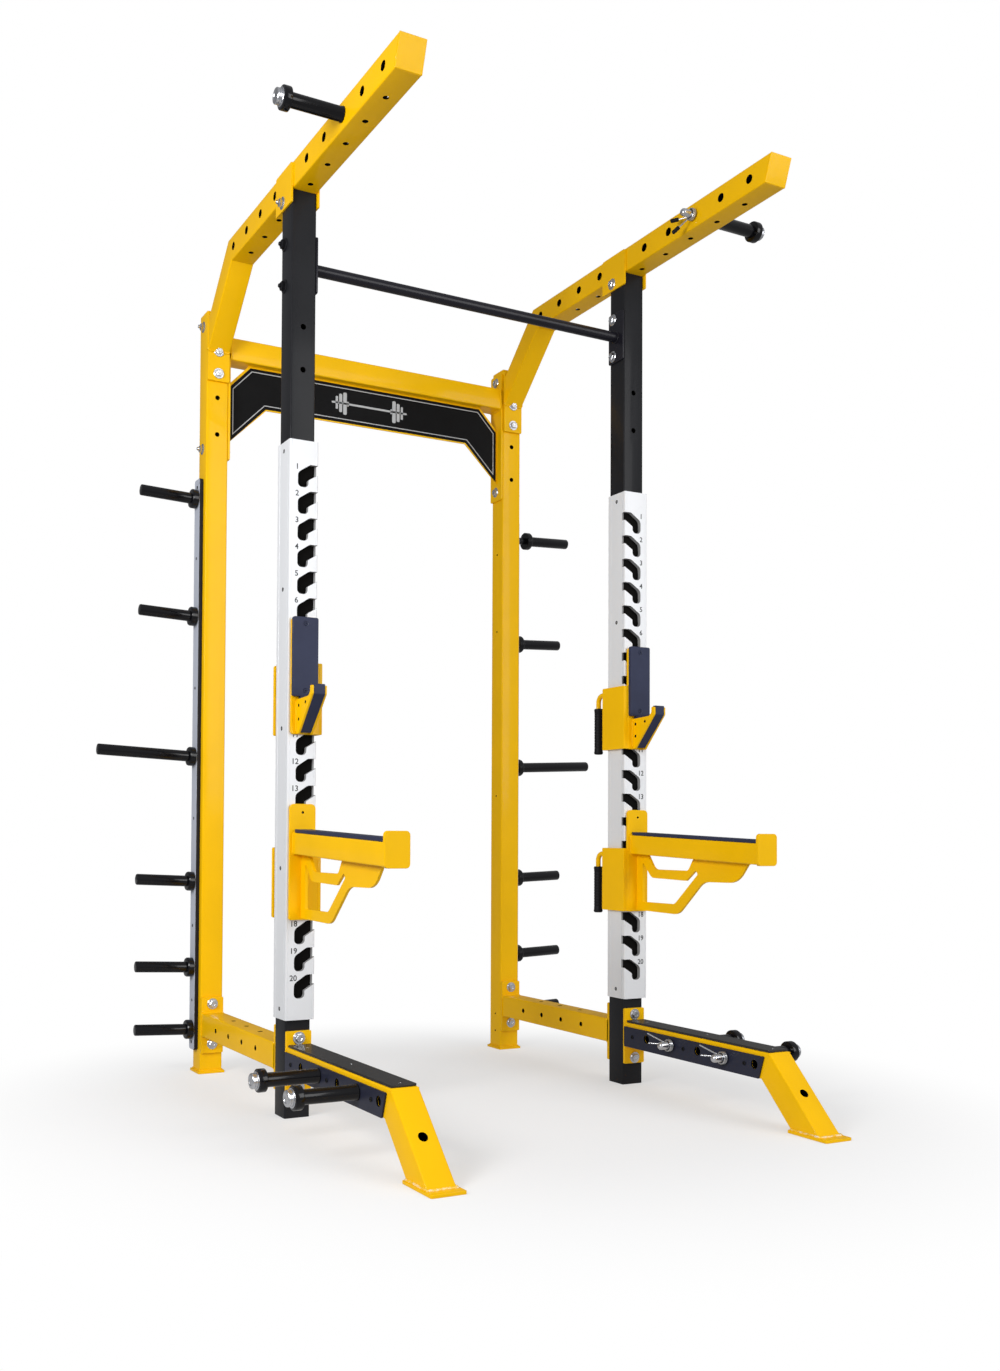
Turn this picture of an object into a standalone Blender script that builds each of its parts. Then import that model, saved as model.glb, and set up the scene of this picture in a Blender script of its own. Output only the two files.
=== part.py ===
"""A half rack (power cage): four 3 inch square uprights, numbered hook sleeves on the front pair,
lift-out bar hooks and spotter arms, front legs, overhead arms with band pegs, and plate storage.

Metres, +Z up. +X is the lifter's right-hand unit, -Y is the front, and the origin lies on the floor
under the middle of the rack. A "side" is -1 for the left unit and +1 for the right one.
"""

import math

import bmesh
import bpy
from mathutils import Matrix, Vector

# Driving dimensions
TUBE = 0.0762  # 3 inch square tube
HALF = TUBE / 2
WALL = 0.0048
PLATE = 0.010  # bolted end plates
PLATE_HALF = HALF + 0.0003  # half their width: they stand a hair proud of the tube
GAP = 0.0003  # air between pieces that touch
SPACING = 1.168  # between upright centres, left to right
DEPTH = 0.752  # between upright centres, front to rear
FRONT_Y = 0.060  # centre of the front uprights
REAR_Y = FRONT_Y + DEPTH
HOLE_PITCH = 0.1205
HOLE_R = 0.013
BOLT_HOLE_R = 0.0085
FINE_HOLE_R = 0.004

REAR_HEIGHT = 2.565
BEAM_Z = 0.163  # centre of the low connectors and of the front legs
TOP_Z = 2.680  # centre of the overhead members
FOOT_PLATE = 0.008
FOOT_LIP = 0.008

SLEEVE_LOW = 0.2755
SLEEVE_HIGH = 1.918
SLEEVE_FRONT = 0.0137  # thickness of the slotted front wall
SLEEVE_SIDE = 0.0056
SLEEVE_HALF = HALF + GAP + SLEEVE_SIDE
SLEEVE_FACE_Y = FRONT_Y - HALF - GAP - SLEEVE_FRONT
SLOT_COUNT = 20
SLOT_PITCH = 0.0762
SLOT_1_BOTTOM = 1.7835
SLOT_OUTER = -0.0185  # the upright leg of a slot, counted inwards from the sleeve's centre
SLOT_INNER = 0.0138
STUD_R = 0.0125

CUP_Z = 1.185  # where the bar rests in a J hook

BAR_Z = 2.437
BAR_R = 0.0165
CROSS_Z = 2.450
SIGN_T = 0.005
LEG_ANGLE = math.radians(46)
ARM_DROP = math.radians(2.2)  # the spotter arms sag a little towards their tips
LEVER_SPREAD = math.radians(55)  # the levers of a spring clip, off the axis of its peg
PEG_LIFT = math.radians(2.5)  # the storage pegs point a little upwards

YELLOW = ("yellow_powder_coat", (0.93, 0.56, 0.0), 0.38, 0.0)
BLACK = ("black_powder_coat", (0.012, 0.013, 0.016), 0.45, 0.0)
BARE = ("anodised_aluminium", (0.78, 0.79, 0.80), 0.32, 0.9)
PLASTIC = ("black_wear_plastic", (0.035, 0.04, 0.06), 0.5, 0.0)
RUBBER = ("black_rubber", (0.015, 0.015, 0.017), 0.75, 0.0)
STEEL = ("zinc_plated_steel", (0.66, 0.67, 0.68), 0.28, 1.0)


# Scene and helpers


def clear_scene():
    for obj in list(bpy.data.objects):
        bpy.data.objects.remove(obj, do_unlink=True)


def make_collection(name):
    collection = bpy.data.collections.new(name)
    bpy.context.scene.collection.children.link(collection)
    return collection


def place(name, mesh):
    """A helper solid in the cutters collection. finish() moves it to the parts."""
    obj = bpy.data.objects.new(name, mesh)
    CUTTERS.objects.link(obj)
    obj.hide_render = True
    obj.display_type = "WIRE"
    return obj


def from_bmesh(name, bm):
    mesh = bpy.data.meshes.new(name)
    bm.to_mesh(mesh)
    bm.free()
    return place(name, mesh)


def box(name, low, high):
    low, high = Vector(low), Vector(high)
    size = high - low
    bm = bmesh.new()
    bmesh.ops.create_cube(bm, size=1)
    bmesh.ops.scale(bm, vec=[abs(s) for s in size], verts=bm.verts)
    bmesh.ops.translate(bm, vec=(low + high) / 2, verts=bm.verts)
    return from_bmesh(name, bm)


def rod(name, start, end, radius, sides=12):
    start, end = Vector(start), Vector(end)
    run = end - start
    turn = run.to_track_quat("Z", "Y").to_matrix().to_4x4()
    bm = bmesh.new()
    bmesh.ops.create_cone(
        bm,
        cap_ends=True,
        segments=sides,
        radius1=radius,
        radius2=radius,
        depth=run.length,
        matrix=Matrix.Translation((start + end) / 2) @ turn,
    )
    return from_bmesh(name, bm)


def rods(name, spans, radius, sides=12):
    """Several rods that stay clear of each other, as one cutter."""
    whole = bmesh.new()
    for start, end in spans:
        one = rod(name, start, end, radius, sides)
        whole.from_mesh(one.data)
        bpy.data.objects.remove(one, do_unlink=True)
    return from_bmesh(name, whole)


def to_mesh_object(curve_obj):
    """The curve object's evaluated solid as a mesh object, with its loose caps welded."""
    bpy.context.view_layer.update()
    graph = bpy.context.evaluated_depsgraph_get()
    mesh = bpy.data.meshes.new_from_object(curve_obj.evaluated_get(graph))
    matrix, name = curve_obj.matrix_world.copy(), curve_obj.name
    bpy.data.objects.remove(curve_obj, do_unlink=True)
    bm = bmesh.new()
    bm.from_mesh(mesh)
    bmesh.ops.remove_doubles(bm, verts=bm.verts, dist=0.00001)
    bmesh.ops.dissolve_limit(bm, angle_limit=0.001, verts=bm.verts, edges=bm.edges)
    bmesh.ops.recalc_face_normals(bm, faces=bm.faces)
    bm.transform(matrix)
    bm.to_mesh(mesh)
    bm.free()
    return place(name, mesh)


# How an outline's own x and y and its thickness lie in the world
ACROSS_X = Matrix(((0, 0, 1, 0), (1, 0, 0, 0), (0, 1, 0, 0), (0, 0, 0, 1)))  # outline in Y and Z
ACROSS_Y = Matrix(((1, 0, 0, 0), (0, 0, -1, 0), (0, 1, 0, 0), (0, 0, 0, 1)))  # outline in X and Z
ACROSS_Z = Matrix.Identity(4)  # outline in X and Y


def slab(name, outline, way, middle, thickness, windows=()):
    """A flat outline, with windows cut out of it, extruded evenly to both sides of the middle."""
    curve = bpy.data.curves.new(name, "CURVE")
    curve.dimensions = "2D"
    curve.fill_mode = "BOTH"
    curve.extrude = thickness / 2
    for points in (outline, *windows):
        spline = curve.splines.new("POLY")
        spline.points.add(len(points) - 1)
        for point, (x, y) in zip(spline.points, points):
            point.co = (x, y, 0, 1)
        spline.use_cyclic_u = True
    obj = bpy.data.objects.new(name, curve)
    CUTTERS.objects.link(obj)
    obj.matrix_world = Matrix.Translation(way.to_3x3() @ Vector((0, 0, middle))) @ way
    return to_mesh_object(obj)


def rounded(corners, steps=3):
    """An outline from (x, y, radius) corners, each turned into an arc of that radius."""
    points = []
    count = len(corners)
    for i, (x, y, radius) in enumerate(corners):
        here = Vector((x, y))
        if radius == 0:
            points.append(here)
            continue
        before = (Vector(corners[i - 1][:2]) - here).normalized()
        after = (Vector(corners[(i + 1) % count][:2]) - here).normalized()
        half = before.angle(after) / 2
        centre = here + (before + after).normalized() * radius / math.sin(half)
        start = here + before * radius / math.tan(half) - centre
        end = here + after * radius / math.tan(half) - centre
        turn = start.angle_signed(end)
        for k in range(steps + 1):
            share = -turn * k / steps
            arm = Vector((
                start.x * math.cos(share) - start.y * math.sin(share),
                start.x * math.sin(share) + start.y * math.cos(share),
            ))
            points.append(centre + arm)
    return [tuple(p) for p in points]


def rectangle(x0, x1, y0, y1, radius=0.0, steps=2):
    corners = ((x0, y0, radius), (x1, y0, radius), (x1, y1, radius), (x0, y1, radius))
    return rounded(corners, steps)


def inset(points, distance):
    """A counter-clockwise outline moved inwards by the distance, corner by corner."""
    moved = []
    for i, point in enumerate(points):
        here = Vector(point)
        along = (here - Vector(points[i - 1])).normalized()
        onward = (Vector(points[(i + 1) % len(points)]) - here).normalized()
        left_a = Vector((-along.y, along.x))
        left_b = Vector((-onward.y, onward.x))
        middle = (left_a + left_b).normalized()
        moved.append(tuple(here + middle * distance / middle.dot(left_a)))
    return moved


def turned(name, profile, steps=12):
    """A solid of revolution about its own Z from (radius, z) points listed from top to bottom.

    A profile that stays off the axis is closed into a ring.
    """
    bm = bmesh.new()
    verts = [bm.verts.new((radius, 0, z)) for radius, z in profile]
    for a, b in zip(verts, verts[1:]):
        bm.edges.new((a, b))
    if profile[0][0] > 0:
        bm.edges.new((verts[-1], verts[0]))
    obj = from_bmesh(name, bm)
    screw = obj.modifiers.new("turn", "SCREW")
    screw.steps = steps
    screw.render_steps = steps
    screw.use_merge_vertices = True
    screw.merge_threshold = 0.00001
    screw.use_smooth_shade = False
    return obj


def wire(name, points, radius, resolution=1):
    curve = bpy.data.curves.new(name, "CURVE")
    curve.dimensions = "3D"
    curve.bevel_depth = radius
    curve.bevel_resolution = resolution
    curve.use_fill_caps = True
    spline = curve.splines.new("POLY")
    spline.points.add(len(points) - 1)
    for point, place_at in zip(spline.points, points):
        point.co = (*place_at, 1)
    obj = bpy.data.objects.new(name, curve)
    CUTTERS.objects.link(obj)
    return to_mesh_object(obj)


def combine(operation, target, others):
    for i, other in enumerate(others):
        modifier = target.modifiers.new(f"{operation.lower()}_{i}", "BOOLEAN")
        modifier.operation = operation
        modifier.solver = "EXACT"
        modifier.object = other
    return target


def cut(target, *tools):
    return combine("DIFFERENCE", target, tools)


def join(target, *pieces):
    return combine("UNION", target, pieces)


def material(finish_of):
    name, colour, roughness, metallic = finish_of
    found = bpy.data.materials.get(name)
    if found:
        return found
    made = bpy.data.materials.new(name)
    made.use_nodes = True
    shader = made.node_tree.nodes["Principled BSDF"]
    shader.inputs["Base Color"].default_value = (*colour, 1)
    shader.inputs["Roughness"].default_value = roughness
    shader.inputs["Metallic"].default_value = metallic
    made.diffuse_color = (*colour, 1)
    return made


def finish(name, obj, finish_of, pivot=None):
    """Names a solid and moves it to the parts, with its origin on the pivot if it has one."""
    obj.name = name
    CUTTERS.objects.unlink(obj)
    PARTS.objects.link(obj)
    obj.hide_render = False
    obj.display_type = "TEXTURED"
    obj.data.materials.append(material(finish_of))
    if pivot is not None:
        holder = bpy.data.objects.new(f"{name}_pivot", None)
        PARTS.objects.link(holder)
        holder.location = pivot
        obj.parent = holder
        obj.matrix_parent_inverse = Matrix.Translation(pivot).inverted()
    return obj


def side_name(stem, side):
    return f"{stem}_{'left' if side < 0 else 'right'}"


def unit_x(side, inward=0.0):
    """An X position on one unit, counted inwards from the centre of its uprights."""
    return side * (SPACING / 2 - inward)


def span_box(name, side, inward, ys, zs):
    """A box on one unit between two distances inward from the upright's centre."""
    xs = sorted(unit_x(side, d) for d in inward)
    return box(name, (xs[0], min(ys), min(zs)), (xs[1], max(ys), max(zs)))


def cross_holes(name, side, places, radius, reach=HALF + 0.03):
    """Cutters along X through one unit at each (y, z)."""
    spans = [((unit_x(side, -reach), y, z), (unit_x(side, reach), y, z)) for y, z in places]
    return rods(name, spans, radius, 8)


# Uprights


def rear_upright(side):
    low, high = FOOT_PLATE / 2, REAR_HEIGHT
    tube = span_box("rear_tube", side, (-HALF, HALF), (REAR_Y - HALF, REAR_Y + HALF), (low, high))
    inner = HALF - WALL
    bore = span_box(
        "rear_bore", side, (-inner, inner), (REAR_Y - inner, REAR_Y + inner), (FOOT_PLATE + 0.001, high - WALL)
    )
    reach = HALF + FOOT_LIP
    foot = span_box("rear_foot", side, (-reach, reach), (REAR_Y - reach, REAR_Y + reach), (0, FOOT_PLATE))
    x = unit_x(side)
    front = [((x, REAR_Y - 0.06, z), (x, REAR_Y, z)) for z in (2.273, 2.148)]
    front_holes = rods("rear_front_holes", front, BOLT_HOLE_R, 8)
    inner_face = unit_x(side, HALF)
    fine = [
        ((inner_face + side * 0.02, REAR_Y, z), (inner_face - side * 0.02, REAR_Y, z))
        for z in (1.865, 1.571, 0.948, 0.129, 0.066)
    ]
    fine_holes = rods("rear_fine_holes", fine, FINE_HOLE_R, 6)
    join(tube, foot)
    cut(tube, bore, front_holes, fine_holes)
    finish(side_name("rear_upright", side), tube, YELLOW)


def front_upright(side):
    high = TOP_Z - HALF - GAP
    ys = (FRONT_Y - HALF, FRONT_Y + HALF)
    tube = span_box("front_tube", side, (-HALF, HALF), ys, (0, high))
    inner = HALF - WALL
    bore = span_box("front_bore", side, (-inner, inner), (FRONT_Y - inner, FRONT_Y + inner), (-0.01, high + 0.01))
    x = unit_x(side)
    front = [((x, FRONT_Y - 0.06, z), (x, FRONT_Y, z)) for z in (2.249, 2.125)]
    holes = rods("front_holes", front, BOLT_HOLE_R, 8)
    cut(tube, bore, holes)
    finish(side_name("front_upright", side), tube, BLACK)


def slot_outline(side, bottom):
    """One hook slot, seen from the front: a short upright leg, then a ramp up and out through the inner edge."""
    reach = SLEEVE_HALF + 0.012
    corners = (
        (SLOT_OUTER, 0, 0.0125),
        (SLOT_INNER, 0, 0.0125),
        (SLOT_INNER, 0.0215, 0),
        (reach, 0.0215 + (reach - SLOT_INNER) * 0.62, 0),
        (reach, 0.0665, 0),
        (0.0195, 0.0665, 0.018),
        (SLOT_OUTER, 0.0665 - (0.0195 - SLOT_OUTER) * 0.66, 0.018),
    )
    points = rounded(corners, 3)
    return [(unit_x(side, s), bottom + z) for s, z in points]


def hook_sleeve(side):
    x = unit_x(side)
    outer, inner = SLEEVE_HALF, HALF + GAP
    front, wall, back = SLEEVE_FACE_Y, FRONT_Y - inner, FRONT_Y + HALF
    chamfer = 0.003
    profile = [
        (x - outer + chamfer, front),
        (x + outer - chamfer, front),
        (x + outer, front + chamfer),
        (x + outer, back),
        (x + inner, back),
        (x + inner, wall),
        (x - inner, wall),
        (x - inner, back),
        (x - outer, back),
        (x - outer, front + chamfer),
    ]
    middle = (SLEEVE_LOW + SLEEVE_HIGH) / 2
    sleeve = slab("sleeve", profile, ACROSS_Z, middle, SLEEVE_HIGH - SLEEVE_LOW)
    slots = bmesh.new()
    for number in range(SLOT_COUNT):
        outline = slot_outline(side, SLOT_1_BOTTOM - number * SLOT_PITCH)
        depth = SLEEVE_FRONT + 0.01
        one = slab("slot", outline, ACROSS_Y, -(wall - GAP - depth / 2), depth)
        slots.from_mesh(one.data)
        bpy.data.objects.remove(one, do_unlink=True)
    cut(sleeve, from_bmesh("slots", slots))
    finish(side_name("hook_sleeve", side), sleeve, BARE)


# Beams between the uprights


def base_connector(side):
    y0, y1 = FRONT_Y + HALF + GAP, REAR_Y - HALF - GAP
    low, high = BEAM_Z - HALF, BEAM_Z + HALF
    tube = span_box("beam", side, (-HALF, HALF), (y0 + GAP, y1 - GAP), (low, high))
    inner = HALF - WALL
    bore = span_box(
        "beam_bore", side, (-inner, inner), (y0 + PLATE + 0.001, y1 - PLATE - 0.001), (low + WALL, high - WALL)
    )
    plates = [
        span_box("end_plate", side, (-PLATE_HALF, PLATE_HALF), ys, (BEAM_Z - 0.095, BEAM_Z + 0.090))
        for ys in ((y0, y0 + PLATE), (y1 - PLATE, y1))
    ]
    places = [FRONT_Y + 0.196 + HOLE_PITCH * k for k in range(4)]
    sides = cross_holes("beam_side_holes", side, [(y, BEAM_Z) for y in places], BOLT_HOLE_R)
    x = unit_x(side)
    tops = [((x, y + HOLE_PITCH / 2, high - 0.02), (x, y + HOLE_PITCH / 2, high + 0.02)) for y in places[:3]]
    join(tube, *plates)
    cut(tube, bore, sides, rods("beam_top_holes", tops, BOLT_HOLE_R, 6))
    finish(side_name("base_connector", side), tube, YELLOW)


def front_leg(side):
    """A beam forward from the upright, a slanted leg and a foot plate, welded into one."""
    back = FRONT_Y - HALF - GAP
    weld = back - PLATE + 0.001
    low, high = BEAM_Z - HALF, BEAM_Z + HALF
    knee_y = FRONT_Y - 0.700
    run = math.cos(LEG_ANGLE) / math.sin(LEG_ANGLE)
    width = TUBE / math.sin(LEG_ANGLE)
    foot_front = knee_y - (high - FOOT_PLATE) * run
    foot_back = foot_front + width
    crotch = foot_back + (low - FOOT_PLATE) * run
    outline = [
        (weld, low),
        (weld, high),
        (knee_y, high),
        (foot_front, FOOT_PLATE - GAP),
        (foot_back, FOOT_PLATE - GAP),
        (crotch, low),
    ]
    x = unit_x(side)
    leg = slab("leg", outline, ACROSS_X, x, TUBE)
    bore = slab("leg_bore", inset(outline, WALL), ACROSS_X, x, TUBE - 2 * WALL)
    plate = span_box("leg_plate", side, (-PLATE_HALF, PLATE_HALF), (back - PLATE, back), (0.068, 0.2445))
    foot_y = FRONT_Y - 0.918
    foot = span_box("leg_foot", side, (-0.046, 0.046), (foot_y, foot_y + 0.142), (0, FOOT_PLATE))
    places = [FRONT_Y - 0.165 - HOLE_PITCH * k for k in range(5)]
    holes = cross_holes("leg_side_holes", side, [(y, BEAM_Z) for y in places], HOLE_R)
    slant_z = 0.105
    slant_y = knee_y - (high - slant_z) * run
    normal = Vector((0, -math.sin(LEG_ANGLE), math.cos(LEG_ANGLE)))
    middle = Vector((x, slant_y, slant_z))
    slant = rod("leg_front_hole", middle + normal * 0.02, middle - normal * 0.03, 0.012, 12)
    join(leg, plate, foot)
    cut(leg, bore, holes, slant)
    finish(side_name("front_leg", side), leg, YELLOW)

    strip = span_box("strip", side, (-0.035, 0.035), (back - PLATE - 0.004, knee_y + 0.004), (high + GAP, high + 0.007))
    finish(side_name("leg_top_strip", side), strip, RUBBER)

    for face, name in ((-1, "outer"), (1, "inner")):
        start = back - PLATE - 0.002
        cover = [
            (start, low),
            (start, high - 0.012),
            (knee_y + 0.016, high - 0.012),
            (knee_y + 0.037, low),
        ]
        middle_x = unit_x(side, face * (HALF + GAP + 0.0025))
        panel = slab("panel", cover, ACROSS_X, middle_x, 0.005)
        cut(panel, cross_holes("panel_holes", side, [(y, BEAM_Z) for y in places], HOLE_R, HALF + 0.04))
        finish(f"leg_side_plate_{name}_{'left' if side < 0 else 'right'}", panel, BLACK)


def top_side_member(side):
    """One bent overhead tube, from the arm's raked tip to its bolting plate on the rear upright."""
    x = unit_x(side)
    low, high = TOP_Z - HALF, TOP_Z + HALF
    slope = math.radians(44)
    bend_y = FRONT_Y + 0.495
    shift = HALF * math.tan(slope / 2)
    back = REAR_Y - HALF - GAP
    weld = back - PLATE + 0.001
    drop = math.tan(slope)
    outline = [
        (FRONT_Y - 0.714, high),
        (FRONT_Y - 0.688, low),
        (bend_y - shift, low),
        (weld, low - (weld - bend_y + shift) * drop),
        (weld, high - (weld - bend_y - shift) * drop),
        (bend_y + shift, high),
    ]
    tube = slab("top_tube", outline, ACROSS_X, x, TUBE)
    bore = slab("top_bore", inset(outline, WALL), ACROSS_X, x, TUBE - 2 * WALL)
    plate = span_box("top_plate", side, (-PLATE_HALF, PLATE_HALF), (back - PLATE, back), (2.327, REAR_HEIGHT - 0.012))
    saddles = [
        span_box("saddle", side, (face * (HALF - 0.001), face * (HALF + 0.006)),
                 (FRONT_Y - 0.047, FRONT_Y + 0.074), (2.600, high - 0.003))
        for face in (-1, 1)
    ]
    trims = [
        span_box("saddle_gap", side, (face * (HALF - 0.02), face * (HALF + GAP)),
                 (FRONT_Y - 0.06, FRONT_Y + 0.08), (2.59, low - GAP))
        for face in (-1, 1)
    ]
    for saddle, trim in zip(saddles, trims):
        cut(saddle, trim)
    places = [(FRONT_Y + 0.460 - HOLE_PITCH * k, TOP_Z) for k in range(10) if k != 4]
    side_holes = cross_holes("top_side_holes", side, places, HOLE_R)
    between = [FRONT_Y + 0.400 - HOLE_PITCH * k for k in range(9) if k != 3]
    under = [((x, y, low - 0.01), (x, y, TOP_Z)) for y in between]
    under_holes = rods("top_under_holes", under, BOLT_HOLE_R, 6)
    join(tube, plate, *saddles)
    cut(tube, bore, side_holes, under_holes)
    finish(side_name("top_side_member", side), tube, YELLOW)


def pull_up_bar():
    end = SPACING / 2 - HALF - GAP
    bar = rod("bar", (-end + GAP, FRONT_Y, BAR_Z), (end - GAP, FRONT_Y, BAR_Z), BAR_R, 16)
    plates = [
        span_box("bar_plate", side, (HALF + GAP, HALF + GAP + 0.006),
                 (FRONT_Y - HALF, FRONT_Y + HALF), (BAR_Z - 0.082, BAR_Z + 0.082))
        for side in (-1, 1)
    ]
    join(bar, *plates)
    finish("pull_up_bar", bar, BLACK)


def rear_crossmember():
    """The rear tube, its two tall end plates and the sign's backing plate under it, as one weldment."""
    end = SPACING / 2 - HALF - GAP
    low, high = CROSS_Z - HALF, CROSS_Z + HALF
    tube = box("cross_tube", (-end + GAP, REAR_Y - HALF, low), (end - GAP, REAR_Y + HALF, high))
    inner = HALF - WALL
    bore = box(
        "cross_bore", (-end + PLATE, REAR_Y - inner, low + WALL), (end - PLATE, REAR_Y + inner, high - WALL)
    )
    plates = [
        span_box("cross_plate", side, (HALF + GAP, HALF + GAP + 0.008),
                 (REAR_Y - PLATE_HALF, REAR_Y + PLATE_HALF), (2.068, 2.548))
        for side in (-1, 1)
    ]
    sign = slab("sign_back", sign_outline(end - 0.004, low + 0.004), ACROSS_Y, -SIGN_Y, SIGN_T)
    drain = rod("cross_drain", (0.3, REAR_Y, high - 0.02), (0.3, REAR_Y, high + 0.02), 0.005, 8)
    join(tube, *plates, sign)
    cut(tube, bore, drain)
    finish("rear_crossmember", tube, YELLOW)


SIGN_Y = REAR_Y - 0.006  # middle of the sign's backing plate


def sign_outline(half, top):
    """Wide arch: a flat top with cut corners and a leg down each end."""
    return [
        (-half, 2.128),
        (-0.397, 2.266),
        (0.397, 2.266),
        (half, 2.128),
        (half, 2.330),
        (0.458, top),
        (-0.458, top),
        (-half, 2.330),
    ]


# Storage


STORAGE_Z = (1.932, 1.532, 1.058, 0.638, 0.350, 0.142)
RAIL_T = 0.014
RAIL_Y = REAR_Y + 0.0115


def storage(side):
    outer = -(HALF + GAP)
    rail = slab(
        "rail",
        rectangle(RAIL_Y - 0.0265, RAIL_Y + 0.0265, 0.075, 2.000, 0.010, 2),
        ACROSS_X,
        unit_x(side, outer - RAIL_T / 2),
        RAIL_T,
    )
    finish(side_name("storage_rail", side), rail, BLACK)
    for number, z in enumerate(STORAGE_Z, 1):
        length = 0.327 if number == 3 else 0.193
        neck = 0.036 if number == 1 and side > 0 else 0.0
        storage_peg(side, number, z, length, neck)


def storage_peg(side, number, z, length, neck):
    """A plate peg with a collar at its foot. A neck stands the collar off the rail on a bare stub."""
    tip = neck + length
    profile = [(0, tip), (0.0165, tip), (0.0185, tip - 0.003), (0.0185, neck + 0.022), (0.0295, neck + 0.022),
               (0.0320, neck + 0.017), (0.0320, neck)]
    if neck:
        profile += [(0.012, neck), (0.012, 0)]
    peg = turned("peg", [*profile, (0, 0)])
    foot = unit_x(side, -(HALF + GAP + RAIL_T + 0.0016))
    peg.location = (foot, RAIL_Y, z)
    peg.rotation_euler = (0, side * (math.pi / 2 - PEG_LIFT), 0)
    finish(f"storage_peg_{number}_{'left' if side < 0 else 'right'}", peg, BLACK)


# Band pegs and their spring clips


def band_peg(name, side, y, z, plates, tail):
    """A peg through both walls of a tube, with a collar and a nut outside and a bare tail inside."""
    face = HALF + plates + GAP
    inner_end = -(2 * face + tail)
    profile = [
        (0, 0.188),
        (0.0165, 0.188),
        (0.0205, 0.185),
        (0.0205, 0.174),
        (0.0245, 0.174),
        (0.0245, 0.171),
        (0.0290, 0.171),
        (0.0305, 0.169),
        (0.0305, 0.151),
        (0.0290, 0.149),
        (0.019, 0.149),
        (0.019, 0.006),
        (0.021, 0.002),
        (0.021, 0.0),
        (0.0118, 0.0),
        (0.0118, inner_end),
        (0, inner_end),
    ]
    peg = turned(name, profile)
    pivot = (unit_x(side, -face - GAP), y, z)
    peg.rotation_euler = (0, side * math.pi / 2, 0)
    peg.location = pivot
    finish(f"{name}_{'left' if side < 0 else 'right'}", peg, BLACK)


def spring_clip(name, side, y, z, plates, turns):
    """A coil that grips the peg's tail, with two levers that lean out as they run inwards."""
    face = HALF + plates + GAP
    coil = turned(name, [(0.0200, 0.014), (0.0200, 0.001), (0.0138, 0.001), (0.0138, 0.014)])
    coil.location = (unit_x(side, face + 0.001), y, z)
    coil.rotation_euler = (0, -side * math.pi / 2, 0)
    levers = []
    for turn in turns:
        out = Vector((0, math.cos(turn), math.sin(turn)))
        start = Vector((unit_x(side, face + 0.009), y, z)) + out * 0.0169
        along = Vector((-side * math.cos(LEVER_SPREAD), 0, 0)) + out * math.sin(LEVER_SPREAD)
        levers.append(rod(f"{name}_wire", start, start + along * 0.056, 0.0026, 6))
        levers.append(rod(f"{name}_grip", start + along * 0.021, start + along * 0.058, 0.0060, 8))
    join(coil, *levers)
    finish(f"{name}_{'left' if side < 0 else 'right'}", coil, STEEL)


def band_pegs(side):
    panel = GAP + 0.005
    spots = (
        ("arm", FRONT_Y + 0.460 - HOLE_PITCH * 7, TOP_Z, 0.0),
        ("leg_rear", FRONT_Y - 0.165 - HOLE_PITCH, BEAM_Z, panel),
        ("leg_front", FRONT_Y - 0.165 - HOLE_PITCH * 3, BEAM_Z, panel),
    )
    for where, y, z, plates in spots:
        clipped = where != "arm" or side > 0
        band_peg(f"band_peg_{where}", side, y, z, plates, 0.048 if clipped else 0.020)
        if clipped:
            turns = (0, math.radians(-51 if where == "arm" else 31 * side))
            spring_clip(f"peg_clip_{where}", side, y, z, plates, turns)


# Bar hooks and spotter arms


HOOK_BACK_Y = SLEEVE_FACE_Y - 0.002  # back of the plates that stand on the sleeve's face
HOOK_FACE_Y = HOOK_BACK_Y - PLATE
WRAP_NEAR = SLEEVE_HALF + 0.0025
WRAP_FAR = WRAP_NEAR + PLATE
WRAP_REAR_Y = FRONT_Y + HALF + 0.004
GRIP_Y = WRAP_REAR_Y + 0.048
GRIP_INWARD = 0.044
GRIP_LENGTH = 0.152


def wrap(name, side, low, high, slots):
    """The part of a hook that grips the upright: side and rear plates, slot studs and a bent handle."""
    cheek = span_box(f"{name}_cheek", side, (WRAP_NEAR, WRAP_FAR), (HOOK_FACE_Y, WRAP_REAR_Y + PLATE), (low, high))
    rear = span_box(
        f"{name}_rear", side, (-SLEEVE_HALF - 0.004, WRAP_FAR - GAP), (WRAP_REAR_Y, WRAP_REAR_Y + PLATE - GAP),
        (low + GAP, high - GAP)
    )
    bridge = span_box(
        f"{name}_bridge", side, (0.030, WRAP_FAR - GAP), (HOOK_FACE_Y + GAP, HOOK_BACK_Y - GAP), (low + GAP, high - GAP)
    )
    studs = []
    for slot in slots:
        z = SLOT_1_BOTTOM - (slot - 1) * SLOT_PITCH + STUD_R + GAP
        start = (unit_x(side), FRONT_Y - HALF - 2 * GAP, z)
        studs.append(rod(f"{name}_stud", start, (unit_x(side), HOOK_FACE_Y + 0.006, z), STUD_R, 12))
    x = unit_x(side, GRIP_INWARD)
    bend = 0.022
    top = high - 0.020
    path = [(x, WRAP_REAR_Y + 0.004, top)]
    for k in range(4):
        angle = math.pi / 2 * k / 3
        path.append((x, GRIP_Y - bend + bend * math.sin(angle), top - bend + bend * math.cos(angle)))
    path.append((x, GRIP_Y, grip_low(high) + 0.008))
    handle = wire(f"{name}_handle", path, 0.008, 2)
    return [cheek, bridge, rear, handle, *studs]


def grip_low(high):
    return high - 0.062 - GRIP_LENGTH


def handle_grip(name, side, high):
    low = grip_low(high)
    x = unit_x(side, GRIP_INWARD)
    grip = rod("grip", (x, GRIP_Y, low), (x, GRIP_Y, low + GRIP_LENGTH), 0.0148, 12)
    bore = rod("grip_bore", (x, GRIP_Y, low + 0.0075), (x, GRIP_Y, low + GRIP_LENGTH + 0.01), 0.0086, 12)
    cut(grip, bore)
    finish(side_name(name, side), grip, RUBBER)


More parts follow.
